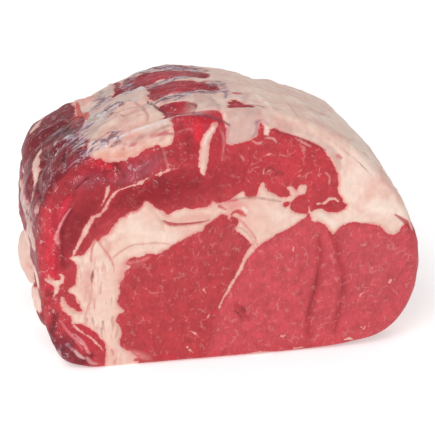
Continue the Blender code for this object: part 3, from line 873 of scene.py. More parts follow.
SIDE_FAT = (
    (((112, 24), (116, 31), (121, 40), (125, 50), (128, 59)), (3, 5, 7, 5, 1.5)),
    (((94, 2), (97, 16), (99, 32), (101, 48), (104, 64), (107, 80)), (3, 9, 11, 10, 6, 2)),
    (((114, 9), (115.5, 5.5)), (3.0, 2.6)),
    (((74, 2), (78, 14), (84, 26), (88, 38)), (2, 4, 3, 1.5)),
    (((84, 46), (90, 60), (96, 76), (100, 92)), (2, 4, 5, 2)),
    (((118, 84), (124, 92), (128, 104)), (1, 3, 3)),
)
FLANK_FAT = (
    ((40, 14), (34, 15), 24),
    ((60, 12), (13, 18), 0),
    ((77, 43), (15, 13), 0),
    ((62, 50), (30, 17), 34),
    ((80, 88), (30, 14), 20),
    ((30, 60), (22, 34), 0),
    ((400, 20), (30, 12), 0),
    ((430, 70), (36, 30), 0),
    ((500, 50), (26, 50), 0),
)
# Where silver film lies on the outside, which also places its painted sheen and glints: centre, half sizes,
# turn, strength
FILM_SPOTS = (
    ((153, 20), (9, 26), 0, 0.9), ((166, 5), (18, 7), 0, 0.8), ((172, 42), (16, 7), 0, 0.8),
    ((193, 28), (7, 9), 0, 0.9), ((228, 30), (9, 16), 0, 0.7), ((176, 58), (12, 9), 0, 0.8),
    ((212, 29), (30, 10), 2, 1.0), ((211, 64), (26, 9), 0, 1.0), ((212, 96), (28, 9), 0, 1.0),
    ((184, 84), (8, 22), 0, 0.8), ((164, 66), (14, 18), 0, 0.8), ((152, 34), (12, 16), 0, 0.7),
    ((136, 34), (20, 6), 4, 0.55), ((128, 10), (30, 8), 0, 0.28), ((104, 30), (14, 50), 6, 0.32),
    ((208, 28), (22, 9), 6, 1.0), ((208, 64), (18, 8), 4, 1.0), ((221, 93), (18, 9), 0, 0.9),
    ((168, 80), (9, 24), 10, 0.8), ((138, 33), (14, 6), 0, 0.8), ((134, 66), (10, 7), 0, 0.7),
    ((158, 34), (8, 9), 0, 0.6), ((183, 66), (10, 7), 0, 0.8), ((100, 44), (8, 40), -8, 0.38),
    ((120, 92), (24, 8), 0, 0.25), ((196, 98), (20, 7), 0, 0.8), ((228, 44), (10, 16), 0, 0.5),
    ((172, 46), (12, 5), 0, 0.6), ((148, 5), (24, 4), 0, 0.5), ((440, 60), (60, 40), 0, 0.4),
    ((520, 30), (40, 24), 0, 0.4),
)
SIDE_LEAN_TINTS = (
    ((130, 50), (34, 90), 0, 0.95, "6e1424"),
    ((142, 55), (13, 26), 0, 0.9, "4e0f1c"),
    ((146, 23), (7, 10), 0, 0.8, "9c3650"),
    ((131, 47), (9, 12), 20, 0.7, "9a2333"),
    ((115, 72), (12, 22), 0, 0.7, "86202e"),
    ((88, 40), (22, 60), 0, 0.7, "8c2f3b"),
    ((205, 12), (14, 18), 0, 0.9, "c23a49"),
    ((208, 46), (26, 18), 0, 0.9, "c23e50"),
    ((205, 80), (30, 18), 0, 0.9, "c84a5a"),
    ((231, 9), (12, 10), 0, 0.9, "b5394a"),
    ((375, 50), (24, 90), 0, 0.8, "b83f48"),
    ((60, 60), (30, 60), 20, 0.6, "a04650"),
    ((152, 70), (6, 30), -8, 0.9, "c2403c"),
)
SIDE_FAT_TINTS = (
    ((175, 20), (30, 34), 0, 1.0, "e2b0a2"),
    ((180, 3), (30, 6), 0, 0.8, "df9c8d"),
    ((165, 40), (18, 34), 0, 0.8, "cbb0a6"),
    ((182, 52), (14, 14), 0, 0.7, "d6b4ab"),
    ((170, 13), (7, 6), 20, 0.8, "efcdbf"),
    ((181, 19), (6, 5), 0, 0.8, "d99c90"),
    ((190, 13), (5, 8), 0, 0.8, "f1d3c5"),
    ((172, 27), (6, 4), 0, 0.8, "d5a096"),
    ((183, 29), (7, 4), 0, 0.8, "edc9bb"),
    ((164, 25), (5, 7), 0, 0.7, "b7a49d"),
    ((210, 29), (26, 10), 3, 1.0, "bda0ab"),
    ((210, 64), (22, 9), 0, 1.0, "bb9aa4"),
    ((212, 95), (26, 11), 0, 1.0, "a5808d"),
    ((194, 66), (8, 12), 0, 0.8, "96606c"),
    ((166, 66), (14, 20), 0, 0.8, "c0a0a5"),
    ((156, 94), (14, 14), 0, 0.9, "e2a198"),
    ((178, 88), (16, 20), 0, 0.7, "b5a6a0"),
    ((216, 14), (9, 14), 0, 0.8, "e0c0b4"),
    ((234, 60), (16, 60), 0, 0.7, "e0bdb3"),
    ((262, 20), (40, 30), 0, 0.5, "f0d0bf"),
    ((300, 40), (60, 90), 0, 0.8, "f1d7c8"),
    ((262, 62), (10, 20), 0, 0.6, "e9bfb6"),
    ((296, 20), (14, 8), 30, 0.6, "edc4b6"),
    ((322, 40), (12, 18), 0, 0.6, "eec8ba"),
    ((306, 86), (16, 12), 0, 0.6, "ecc2b4"),
    ((274, 44), (9, 9), 0, 0.6, "f7e6d9"),
    ((312, 56), (10, 14), 0, 0.6, "f8e8da"),
    ((288, 66), (8, 10), 0, 0.5, "f7e6d9"),
    ((280, 80), (30, 30), 0, 0.5, "f0cfc2"),
    ((60, 40), (40, 50), 0, 0.8, "e6bdb2"),
    ((430, 60), (90, 80), 0, 0.7, "e2b8ab"),
    ((100, 30), (20, 70), 0, 0.95, "c2958f"),
    ((122, 42), (12, 24), 0, 0.6, "ccaaa2"),
)
# Thin lines on the outside, as for the cut, some of them painted highlights on film and folds
SIDE_LINES = (
    (((149.5, 94), (152, 80), (155, 66), (158, 50), (158.8, 44)), (1.2, 3.0, 3.4, 2.6, 0.6), "cf4034", 0.5),
    # Pale fold along the rim, with a painted highlight on its crest
    (((153, 12), (158, 9), (164, 6.6), (170, 5), (176.3, 4.3), (183, 4), (189.5, 3.7), (198, 3.2),
      (214, 2)),
     (0.5, 1.2, 0.8, 1.1, 0.5, 1.0, 0.4, 0.8, 0.6), "e8dcd8", 0.7),
    (((169, 37), (174, 48), (179.5, 43), (184, 38), (187.6, 29), (188.6, 11.5), (187.5, 6.5)),
     (0.4, 0.7, 0.6, 0.9, 0.9, 0.8, 0.3), "cf948c", -0.8),
    (((176, 22), (178.5, 19.5), (181, 20.5)), (0.4, 0.8, 0.3), "cb7474", -0.5),
    # Silver film in the string marks, with painted wet highlights on it
    (((156.5, 40), (161.2, 44), (166, 39.5), (170, 42), (172.5, 46)), (0.5, 1.4, 1.5, 1.3, 0.5),
     "dcd8da", 0.8),
    (((160, 74), (166.5, 71), (171, 63), (178.4, 67), (183.5, 69), (188.9, 63), (192, 58)),
     (0.6, 1.7, 1.7, 1.9, 1.9, 1.7, 0.6), "e2dfe3", 1.0),
    (((300, 3), (305, 7), (309, 10)), (0.4, 1.1, 0.4), "e7a69c", 0.2),
    (((312, 4), (318, 9), (322, 12)), (0.4, 1.3, 0.4), "e3a096", 0.2),
    (((328, 3), (332, 8), (334, 14)), (0.4, 1.5, 0.5), "dc8f88", 0.2),
    (((292, 5), (297, 12)), (0.4, 0.9), "e5aaa0", 0.2),
    (((320, 16), (327, 22)), (0.5, 1.1), "e6aaa0", 0.2),
    # Silver film in the string marks, with painted wet highlights on it
    (((138, 38.5), (150, 36.5), (160, 37), (170, 35), (180, 33), (190, 30), (202, 28)),
     (0.5, 1.2, 1.5, 1.4, 1.5, 1.2, 0.6), "dcd6da", 0.5),
    (((152, 45), (162, 46.5), (172, 44), (182, 40), (190, 37)), (0.4, 0.9, 1.2, 1.0, 0.4), "d3cbce", 0.4),
    (((158, 68), (168, 65), (180, 62), (190, 60), (200, 59)), (0.5, 1.2, 1.8, 1.4, 0.6), "dcd6dc", 0.4),
    (((104, 66), (114, 60), (122, 57), (131, 61), (140, 62)), (0.4, 0.9, 1.0, 0.8, 0.3), "c48c94", 0.3),
    (((122, 84), (132, 78), (142, 76)), (0.4, 0.9, 0.4), "b98590", 0.3),
    (((190.6, 35), (192, 26), (195.4, 18), (197.6, 8)), (0.6, 1.3, 1.4, 0.6), "7c3840", -0.5),
    (((209.6, 20), (211.4, 12), (210.4, 4)), (0.5, 1.0, 0.5), "8e4450", -0.4),
    (((211, 24), (218, 25.4), (225, 26.6)), (0.5, 1.5, 0.6), "7a3049", -0.3),
    (((233.4, 21), (235, 25), (236, 29)), (1.6, 4.4, 1.4), "cf4e55", 0.0),
    (((237, 11), (242, 7), (249, 1.5)), (0.6, 1.1, 0.7), "b0626a", -0.4),
    (((228, 17), (230, 26), (231.4, 36)), (0.8, 1.6, 0.8), "9d7f8e", -0.3),
)
# Soft bands on the outside, as for the cut, some of them painted shade in grooves and painted highlights
SIDE_SHADES = (
    (((214, -2), (214, 10), (216, 22)), (15, 15, 8), 3.0, "d3b1a7", 0.9, 0.2),
    (((214, 3), (224, 4), (232, 3.5), (241, 2.5)), (1.0, 1.6, 1.6, 1.0), 1.0, "ddd0cb", 0.95, 0.9),
    (((226, 16), (232, 17), (240, 13)), (1.0, 1.6, 1.0), 1.2, "d6c3c6", 0.9, 0.9),
    (((221, 0), (222.5, 8), (221, 18)), (1.5, 2, 1), 1.6, "a98a96", 0.6, -0.3),
    (((168, 9), (178, 12), (188, 16)), (4, 6, 4), 2.4, "e8bcae", 0.8, 0.6),
    (((170, 22), (179, 20), (188, 23)), (2, 3, 2), 1.8, "d49a90", 0.6, -0.5),
    (((163, 14), (166, 24), (171, 32)), (5, 7, 5), 2.4, "c6aca2", 0.8, -0.2),
    (((186, 8), (191, 14), (193, 22)), (3, 4, 3), 2.0, "f0cdbd", 0.8, 0.8),
    (((180, 44), (176, 52), (178, 58)), (6, 9, 6), 2.6, "d5c2b9", 0.7, 0.3),
    (((150, 20), (147, 34), (146, 46)), (5, 7, 5), 2.6, "5a1f2a", 0.8, -0.4),
    (((136, 14), (140, 30), (139, 50)), (3, 5, 4), 2.6, "8e2a3a", 0.6, 0.3),
    (((259, 22), (261, 12), (263.4, 2)), (0.8, 1.4, 1.0), 1.2, "c79c92", 0.6, -0.6),
    (((243, 24), (246.4, 12), (249, 1)), (1.2, 2.4, 1.4), 1.2, "f7ebdf", 0.8, 0.7),
    (((236, 14), (239, 24), (238, 36)), (2, 3, 2), 2.0, "d2aaa4", 0.7, -0.5),
    (((280, 28), (289, 44), (297, 60), (303, 72)), (1.0, 1.8, 1.8, 1.0), 1.4, "d8a99c", 0.5, -0.4),
    (((286, 30), (295, 46), (303, 62), (309, 74)), (1.4, 2.2, 2.2, 1.2), 1.6, "f6e2d4", 0.7, 0.6),
    (((292, 8), (300, 16), (311, 22)), (1.2, 2.0, 1.2), 1.6, "e9c0b2", 0.6, -0.5),
    (((330, 44), (334, 60), (336, 78)), (1.2, 2.0, 1.2), 1.6, "dbb0a2", 0.5, -0.6),
    (((318, 14), (324, 34), (326, 60)), (1.6, 2.6, 1.6), 2.0, "f3cabb", 0.6, 0.3),
    (((262, 44), (272, 58), (276, 76)), (2, 4, 2), 2.6, "ebc0b6", 0.6, -0.4),
    (((250, 40), (256, 60), (258, 84)), (2, 3, 2), 2.6, "e9c6bd", 0.6, 0.3),
    (((268, 10), (276, 18), (288, 22)), (2, 4, 2), 2.4, "f0dccd", 0.7, 0.6),
    (((200, 47), (210, 45), (222, 41)), (0.8, 1.6, 0.8), 1.4, "8a2431", 0.6, -0.5),
    (((192, 80), (206, 81), (224, 79)), (0.8, 1.6, 0.8), 1.4, "8a2431", 0.6, -0.5),
    # Silver film in the string marks, with painted wet highlights on it
    (((196, 36), (206, 38.5), (216, 36), (224, 33)), (1.0, 1.4, 1.4, 1.0), 1.0, "dcc6cb", 0.8, 0.8),
    (((190, 63), (198, 71), (208, 68.5), (220, 66.5)), (1.0, 1.4, 1.4, 1.0), 1.0, "dcc6cb", 0.8, 0.8),
    # Painted highlight along a fold of the slab
    (((160, 26), (170, 25), (182, 24), (193, 21)), (1.0, 1.6, 1.8, 1.0), 1.2, "f1dcd0", 0.8, 1.2),
    # Painted shade in the grooves between the slab's folds and lobes
    (((158, 33), (168, 34), (180, 31), (190, 27)), (1.0, 1.6, 1.6, 1.0), 1.2, "b98b88", 0.6, -0.8),
    (((170, 12), (178, 15), (186, 13)), (1.2, 2.4, 1.2), 1.4, "d79f92", 0.6, -0.9),
    (((166, 18), (173, 19), (178, 24)), (2, 3, 2), 1.6, "ecc8ba", 0.8, 0.9),
    (((182, 10), (188, 12), (191, 18)), (2, 4, 3), 1.8, "ecc8ba", 0.8, 0.9),
    (((156, 58), (164, 54), (174, 52)), (2, 3.4, 2), 1.8, "cdb9bb", 0.7, 0.6),
    (((128, 20), (130, 40), (128, 56)), (2, 3, 2), 2.0, "5e1f2a", 0.7, -0.4),
    (((154, 36), (162, 40), (170, 41)), (4, 6, 3), 2.4, "b8ada0", 0.7, -0.4),
    (((178, 68), (183, 64), (186, 60)), (5, 6, 3), 2.4, "c3cbc6", 0.7, 0.0),
    (((165, 72), (168, 64), (170, 58)), (2, 3, 2), 1.6, "9c857c", 0.7, -0.6),
    (((165, 84), (168, 92), (166, 100)), (2, 3, 2), 1.6, "8d7a72", 0.7, -0.6),
    (((158, 12), (160, 20), (157, 28)), (3, 5, 3), 2.4, "b79a96", 0.7, 0.0),
    (((150, 9), (157, 11), (163, 8)), (3, 4, 2), 1.8, "a0424e", 0.6, 0.0),
    (((153, 96), (158, 92), (163, 88)), (6, 7, 4), 2.4, "e4a49b", 0.8, 1.0),
    (((199, 24), (206, 27), (214, 31)), (4, 8, 5), 2.6, "9c8799", 0.6, 0.2),
    (((204, 64), (214, 62), (224, 59)), (4, 7, 4), 2.6, "a692a4", 0.6, 0.2),
    (((196, 98), (210, 97), (224, 92)), (4, 6, 4), 2.4, "93808f", 0.6, 0.2),
    (((225, 50), (229, 40), (230, 30)), (3, 4, 3), 2.2, "b0707a", 0.6, 0.0),
    (((105, 10), (108, 20), (110, 30)), (3, 4, 2), 2.0, "b9858c", 0.6, 0.3),
    (((93, 6), (96, 22), (98, 40)), (1.6, 2.4, 1.6), 1.4, "dcc3bb", 0.8, 0.7),
    (((101, 4), (103, 20), (104, 36)), (1.2, 2.0, 1.2), 1.2, "8f4a50", 0.8, -0.8),
    (((88, 10), (91, 24), (95, 40)), (1.2, 2.0, 1.2), 1.2, "c98a90", 0.7, 0.5),
    (((120, 6), (121, 20), (124, 34)), (1.2, 2.0, 1.2), 1.2, "4f1822", 0.8, -0.9),
    (((132, 4), (134, 18), (136, 30)), (1.0, 1.8, 1.0), 1.2, "a5424f", 0.7, 0.6),
    (((142, 6), (143, 16), (145, 26)), (1.0, 2.0, 1.0), 1.4, "4f1822", 0.8, -0.8),
    (((112, 4), (117, 12), (119, 20)), (4, 6, 3), 2.0, "8c2632", 0.8, 0.0),
    # Painted bluish highlight on the wet film
    (((146, 26), (147, 34), (145, 38)), (1, 3, 1), 1.4, "c9cdd8", 0.6, 0.2),
    (((100, 70), (106, 58), (108, 46)), (4, 6, 4), 2.6, "b79f96", 0.6, 0.2),
    (((84, 6), (88, 16), (92, 26)), (3, 4, 2), 2.0, "8e3c48", 0.7, -0.4),
    (((70, 6), (75, 16), (80, 26)), (3, 4, 2), 2.0, "a9525a", 0.7, -0.4),
)
# Ridges of folded film and fat on the outside: path, height and half width
FOLDS = (
    (((150, 34), (165, 30), (185, 28), (205, 26), (226, 28)), 1.6, 3.0),
    (((128, 40), (150, 38), (170, 42), (190, 38), (204, 36)), 1.4, 2.6),
    (((140, 66), (160, 62), (180, 66), (200, 64), (222, 62)), 1.6, 3.2),
    (((166, 78), (180, 84), (195, 96), (215, 97)), 1.2, 2.8),
    (((110, 64), (122, 60), (136, 64)), 1.0, 2.6),
    (((160, 52), (172, 56), (186, 52)), 0.8, 2.4),
    (((262, 34), (272, 30), (284, 33), (290, 40)), 0.9, 2.6),
    (((300, 64), (316, 60), (332, 66)), 0.7, 3.0),
)
HOLLOWS = (
    ((196, 48), (8, 6), 0, 1.2), ((214, 78), (12, 7), 0, 0.9), ((140, 50), (14, 10), 0, 1.0),
    ((204, 12), (7, 9), 0, 0.8), ((226, 20), (6, 8), 0, 0.8), ((276, 26), (12, 6), 20, 1.0),
    ((307, 84), (28, 20), 0, 2.0), ((216, 95), (28, 16), 0, 1.8), ((97, 77), (20, 22), 0, 1.8),
)
SWELLS = (
    ((175, 17), (22, 16), 0, 1.8), ((178, 54), (17, 12), 0, 1.8), ((156, 92), (12, 12), 0, 1.8),
    ((217, 12), (8, 12), 0, 0.8), ((125, 18), (20, 14), 0, 1.0), ((300, 30), (30, 24), 0, 0.8),
    ((262, 74), (18, 16), 0, 0.7), ((118, 88), (16, 12), 0, 0.8),
)


def side_pattern(p):
    """The outside, at places s, depth on its chart."""
    lean = np.max([patch(p, part) for part in (SIDE_LEAN, RIGHT_LEAN, *TOP_LEAN)], axis=0)
    fat = np.maximum(-lean, widest(p, SIDE_FAT))
    for centre, half_sizes, turn in FLANK_FAT:
        fat = np.maximum(fat, 10 * (spot(p, centre, half_sizes, turn) - 0.4))
    flat = np.column_stack([p, 0 * p[:, 0]])
    away = np.maximum(smooth(100, 80, p[:, 0]), smooth(330, 350, p[:, 0]))
    fat = fat + (0.8 + 4.0 * away) * wander(flat, FLANK_WARP, 31, 2)
    fat = fat + (0.6 + 1.4 * away) * wander(flat, FLANK_RAG, 32, 2)
    film = np.max([s * spot(p, c, h, t) for c, h, t, s in FILM_SPOTS], axis=0)
    relief = 0.5 * smooth(-0.5, 2.5, fat)
    for path, height, half in FOLDS:
        gap = nearest_on(p, spline(path, 6, False))[0]
        ends = smooth(0, 12, p[:, 0] - path[0][0]) * smooth(0, 12, path[-1][0] - p[:, 0])
        relief += height * np.exp(-(gap / half) ** 2) * ends
    relief -= sum(h * spot(p, c, r, t) for c, r, t, h in HOLLOWS)
    relief += sum(h * spot(p, c, r, t) for c, r, t, h in SWELLS)
    line, line_tone, line_lift = lined(p, SIDE_LINES)
    look = {
        "fat": fat,
        "line": line,
        "line_tone": line_tone,
        "lean": tinted(p, FLANK_RED, SIDE_LEAN_TINTS),
        "pale": tinted(p, COVER_FAT_CREAM, SIDE_FAT_TINTS),
        "film": film,
        "marble": np.where(fat > 0.4, 0.12, 0.7),
        # Frayed edges and painted wet glints, more of both over the upper left
        "loose_and_sparkle": 0.15 + 0.6 * smooth(262, 236, p[:, 0]) * smooth(84, 108, p[:, 0]),
        "relief": relief + line_lift,
    }
    shade(p, look, SIDE_SHADES)
    return look


def only(pattern, p, rows):
    """A pattern worked out for some of the corners, and left at 0 for the others."""
    look = {}
    for name, values in pattern(p[rows]).items():
        look[name] = np.zeros((len(p),) + values.shape[1:])
        look[name][rows] = values
    return look


def roast_pattern(places, s, depth):
    """The pattern at every corner: the cut, the outside, and a back that has the cut's muscles again."""
    x, y, z = places.T
    on_chart = ~np.isnan(s)
    plane = np.stack([x, z], 1)
    shift = np.stack([wander(places, BACK_WARP, 5, 2), wander(places, BACK_WARP, 6, 2)], 1)
    back_plane = np.stack([x * BACK_WIDER + BACK_SHIFT, z * BACK_TALLER], 1) + BACK_WARP_BY * shift
    chart = np.stack([np.where(on_chart, s, 0), depth], 1)
    wavers = [wander(places, CHART_WARP, 11, 2), wander(places, CHART_WARP, 12, 2)]
    chart += CHART_WARP_BY * np.stack(wavers, 1)
    to_side = np.where(on_chart, smooth(*CUT_TO_SIDE, depth), 0)
    to_back = np.where(on_chart, smooth(*SIDE_TO_BACK, depth), (y > 0).astype(float))
    cut = only(cut_pattern, plane, (to_side < 1) & (to_back < 1))
    side = only(side_pattern, chart, (to_side > 0) & (to_back < 1))
    back = only(cut_pattern, back_plane, to_back > 0)
    return {name: mix(mix(cut[name], side[name], to_side), back[name], to_back) for name in cut}


# ---- making the piece ----

def make_mesh(name, places, quads, triangles):
    """A mesh from corners in mm and its faces, shaded smooth."""
    mesh = bpy.data.meshes.new(name)
    mesh.vertices.add(len(places))
    mesh.vertices.foreach_set("co", (places * MM).astype(np.float32).ravel())
    sizes = np.concatenate([np.full(len(quads), 4), np.full(len(triangles), 3)])
    mesh.loops.add(int(sizes.sum()))
    mesh.loops.foreach_set("vertex_index", np.concatenate([quads.ravel(), triangles.ravel()]))
    mesh.polygons.add(len(sizes))
    mesh.polygons.foreach_set("loop_start", np.cumsum(sizes) - sizes)
    mesh.polygons.foreach_set("use_smooth", np.ones(len(sizes), bool))
    mesh.update(calc_edges=True)
    mesh.validate()
    return mesh


def store(mesh, name, values):
    """Keeps a value or a colour for each corner on the mesh."""
    values = np.asarray(values, float)
    if values.ndim == 1:
        mesh.attributes.new(name, "FLOAT", "POINT").data.foreach_set("value", values.astype(np.float32))
        return
    rgba = np.hstack([np.clip(values, 0, 1), np.ones((len(values), 1))]).astype(np.float32)
    mesh.attributes.new(name, "FLOAT_COLOR", "POINT").data.foreach_set("color", rgba.ravel())


def make_roast():
    """The whole joint: the plain surface, moved out and in along its normals by the relief. It lies over the
    solid, and it is left flat where it rests."""
    places, s, depth, quads, triangles = roast_surface()
    look = roast_pattern(places, s, depth)
    normals = corner_normals(places, quads, triangles)
    outside = np.where(np.isnan(s), 0, smooth(*OUTSIDE_FROM, depth))
    lumps = LUMP_HIGH * wander(places, LUMP, 21, 3) * (LUMP_ON_CUT + (1 - LUMP_ON_CUT) * outside)
    lumps += FAT_LUMP_HIGH * wander(places, FAT_LUMP, 23, 2) * smooth(0.3, 2.5, look["fat"])
    ripples = RIPPLE_HIGH * wander(places * RIPPLE_STRETCH, RIPPLE, 22, 2) * outside
    pressed = LOW_RELIEF + (1 - LOW_RELIEF) * smooth(0, LOW_TO, places[:, 2])
    lift = (look.pop("relief") + lumps + ripples) * pressed
    resting = smooth(*RESTING_TILT, normals[:, 2]) * smooth(*RESTING_HEIGHTS, places[:, 2])
    moved = places + normals * (lift * (1 - resting))[:, None]
    moved[:, 2] = np.maximum(moved[:, 2], 0)
    solid_middle = np.mean([np.array(corner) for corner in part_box("roast")], axis=0) / MM
    middle = (places.min(0) + places.max(0)) / 2
    moved[:, :2] += (solid_middle - middle)[:2]
    mesh = make_mesh("roast_skin", moved, quads, triangles)
    look["lean"] *= WET_LEAN
    for name, values in look.items():
        store(mesh, name, values)
    piece = bpy.data.objects.new("roast_skin", mesh)
    bpy.context.scene.collection.objects.link(piece)
    return piece


# ---- the finish ----

def add(tree, kind, inputs=None, out=0, **settings):
    """Adds a node with its settings. Each input is set to a plain value, or linked from another node's
    output. Returns the output asked for."""
    made = tree.nodes.new("ShaderNode" + kind)
    for name, value in settings.items():
        setattr(made, name, value)
    for name, source in (inputs or {}).items():
        if isinstance(source, bpy.types.NodeSocket):
            tree.links.new(source, made.inputs[name])
        else:
            made.inputs[name].default_value = source
    return made.outputs[out] if made.outputs else None


def rgba(text):
    """The same colour with full opacity, as a socket takes it."""
    return (*colour(text), 1)


def raw_beef():
    """Raw beef, cut with a knife and still wet. Lean gives a dull red with fine threads and white flecks, fat
    a waxy cream with soft lobes, and the silver film over the outside a bluish, wrinkled shine, partly glossy
    and partly painted sheen and glints."""
    material = bpy.data.materials.new("raw_beef_lean_fat_and_film")
    material.use_nodes = True
    tree = material.node_tree
    tree.nodes.clear()
    edge, line, film, marble, loose_and_sparkle = (
        add(tree, "Attribute", out="Fac", attribute_name=name)
        for name in ("fat", "line", "film", "marble", "loose_and_sparkle")
    )
    lean, pale, line_tone = (
        add(tree, "Attribute", out="Color", attribute_name=name)
        for name in ("lean", "pale", "line_tone")
    )
    place = add(tree, "TexCoord", out="Object")
    mm = add(tree, "VectorMath", {0: place, "Scale": 1 / MM}, operation="SCALE")
    grain = add(tree, "VectorMath", {0: mm, 1: GRAIN_STRETCH}, operation="MULTIPLY")
    wrap = add(tree, "VectorMath", {0: mm, 1: WRAP_STRETCH}, operation="MULTIPLY")

    # Where lean meets fat the edge is torn by about a millimetre, and by twice that where film pulls on it
    torn = add(tree, "TexNoise", {"Vector": mm, "Scale": 1 / TEAR, "Detail": 3.0, "Roughness": 0.6})
    torn = add(tree, "MapRange", {0: torn, 1: 0.0, 2: 1.0, 3: -TEAR_DEEP, 4: TEAR_DEEP})
    edge = add(tree, "Math", {0: edge, 1: torn}, operation="ADD")
    frayed = add(tree, "TexNoise", {"Vector": wrap, "Scale": 1 / FRAY, "Detail": 3.0, "Roughness": 0.55})
    frayed = add(tree, "MapRange", {0: frayed, 1: 0.25, 2: 0.75, 3: -FRAY_DEEP, 4: FRAY_DEEP})
    edge = add(tree, "Math", {0: frayed, 1: loose_and_sparkle, 2: edge}, operation="MULTIPLY_ADD")
    fat = add(tree, "MapRange", {0: edge, 1: -0.25, 2: 0.3}, interpolation_type="SMOOTHSTEP")
    line = add(tree, "Math", {0: torn, 1: 0.3, 2: line}, operation="MULTIPLY_ADD")
    line = add(tree, "MapRange", {0: line, 1: -0.75, 2: 0.3, 4: 0.85}, interpolation_type="SMOOTHSTEP")

    # Under the film everything is streaked with dark
    streak = add(tree, "TexNoise", {"Vector": wrap, "Scale": 1 / STREAK, "Detail": 5.0, "Roughness": 0.68,
                                    "Distortion": 0.7})
    dusk = add(tree, "MapRange", {0: streak, 1: 0.30, 2: 0.55, 3: 0.55, 4: 1.1})
    dusk = add(tree, "Mix", {0: loose_and_sparkle, 2: 1.0, 3: dusk})

    # Lean: bundles of threads with paler tissue between them, mottled, and flecked with marbling
    sway = add(tree, "TexNoise", {"Vector": mm, "Scale": 1 / SWAY, "Detail": 2.0}, out="Color")
    swayed = add(tree, "VectorMath", {0: sway, 1: (SWAY_BY,) * 3, 2: mm}, operation="MULTIPLY_ADD")
    bundle = add(tree, "TexVoronoi", {"Vector": swayed, "Scale": 1 / BUNDLE}, out="Color")
    bundle = add(tree, "MapRange", {0: bundle, 1: 0.2, 2: 0.8, 3: 0.93, 4: 1.06})
    mottle = add(tree, "TexNoise", {"Vector": mm, "Scale": 1 / MOTTLE, "Detail": 3.0})
    mottled = add(tree, "MapRange", {0: mottle, 1: 0.25, 2: 0.75, 3: 0.88, 4: 1.12})
    thread = add(tree, "TexNoise", {"Vector": grain, "Scale": 1 / THREAD, "Detail": 3.0, "Roughness": 0.6})
    threads = add(tree, "MapRange", {0: thread, 1: 0.25, 2: 0.75, 3: 0.86, 4: 1.15})
    tone = add(tree, "Math", {0: mottled, 1: threads}, operation="MULTIPLY")
    tone = add(tree, "Math", {0: tone, 1: bundle}, operation="MULTIPLY")
    lean = add(tree, "VectorMath", {0: lean, "Scale": tone}, operation="SCALE")
    between = add(tree, "TexVoronoi", {"Vector": swayed, "Scale": 1 / BUNDLE}, feature="DISTANCE_TO_EDGE")
    between = add(tree, "MapRange", {0: between, 1: 0.12, 2: 0.02}, interpolation_type="SMOOTHSTEP")
    broken_up = add(tree, "TexNoise", {"Vector": mm, "Scale": 1 / BREAK, "Detail": 2.0})
    broken = add(tree, "MapRange", {0: broken_up, 1: 0.50, 2: 0.68, 4: 0.28}, interpolation_type="SMOOTHSTEP")
    between = add(tree, "Math", {0: between, 1: broken}, operation="MULTIPLY")
    fleck = add(tree, "TexNoise", {"Vector": grain, "Scale": 1 / FLECK, "Detail": 2.0, "Distortion": 1.5})
    fleck = add(tree, "MapRange", {0: fleck, 1: 0.66, 2: 0.78, 4: 0.42}, interpolation_type="SMOOTHSTEP")
    marbling = add(tree, "Math", {0: fleck, 1: between}, operation="MAXIMUM")
    marbling = add(tree, "Math", {0: marbling, 1: marble}, operation="MULTIPLY")
    lean = add(tree, "Mix", {0: marbling, 6: lean, 7: rgba(MARBLING_PINK)}, out=2, data_type="RGBA")
    brink = add(tree, "MapRange", {0: edge, 1: -1.6, 2: -0.1, 4: 0.35}, interpolation_type="SMOOTHSTEP")
    lean = add(tree, "Mix", {0: brink, 6: lean, 7: rgba(EDGE_RED)}, out=2, data_type="RGBA")
    lean = add(tree, "VectorMath", {0: lean, "Scale": dusk}, operation="SCALE")

    # Fat: soft lobes with pinker seams, blushes of red, and pink where it thins out over the lean
    lobes = add(tree, "TexVoronoi", {"Vector": mm, "Scale": 1 / LOBE}, feature="SMOOTH_F1")
    blush = add(tree, "TexNoise", {"Vector": wrap, "Scale": 1 / BLUSH, "Detail": 4.0, "Roughness": 0.6})
    blushing = add(tree, "MapRange", {0: blush, 1: 0.44, 2: 0.70, 4: 0.55}, interpolation_type="SMOOTHSTEP")
    pale = add(tree, "Mix", {0: blushing, 6: pale, 7: rgba(BLUSH_PINK)}, out=2, data_type="RGBA")
    whiter = add(tree, "TexNoise", {"Vector": mm, "Scale": 1 / WHITER, "Detail": 2.0})
    whiter = add(tree, "MapRange", {0: whiter, 1: 0.46, 2: 0.66, 4: 0.38}, interpolation_type="SMOOTHSTEP")
    pale = add(tree, "Mix", {0: whiter, 6: pale, 7: rgba(FAT_WHITE)}, out=2, data_type="RGBA")
    seams = add(tree, "MapRange", {0: lobes, 1: 0.35, 2: 0.8, 4: 0.16}, interpolation_type="SMOOTHSTEP")
    pale = add(tree, "Mix", {0: seams, 6: pale, 7: rgba(SEAM_PINK)}, out=2, data_type="RGBA")
    strand = add(tree, "VectorMath", {0: mm, 1: STRAND_STRETCH}, operation="MULTIPLY")
    strand = add(tree, "TexNoise", {"Vector": strand, "Scale": 1 / STRAND, "Detail": 3.0, "Roughness": 0.6})
    dash = add(tree, "MapRange", {0: strand, 1: 0.52, 2: 0.70}, interpolation_type="SMOOTHSTEP")
    dash = add(tree, "Math", {0: dash, 1: marble}, operation="MULTIPLY")
    pale = add(tree, "Mix", {0: dash, 6: pale, 7: rgba(STRAND_BROWN)}, out=2, data_type="RGBA")
    thin = add(tree, "MapRange", {0: edge, 1: 1.6, 2: 0.1, 4: 1.6})
    thin = add(tree, "Math", {0: thin, 1: blush}, operation="MULTIPLY")
    pale = add(tree, "Mix", {0: thin, 6: pale, 7: rgba(THIN_FAT_PINK)}, out=2, data_type="RGBA")
    waxy = add(tree, "TexNoise", {"Vector": mm, "Scale": 1 / WAX, "Detail": 3.0})
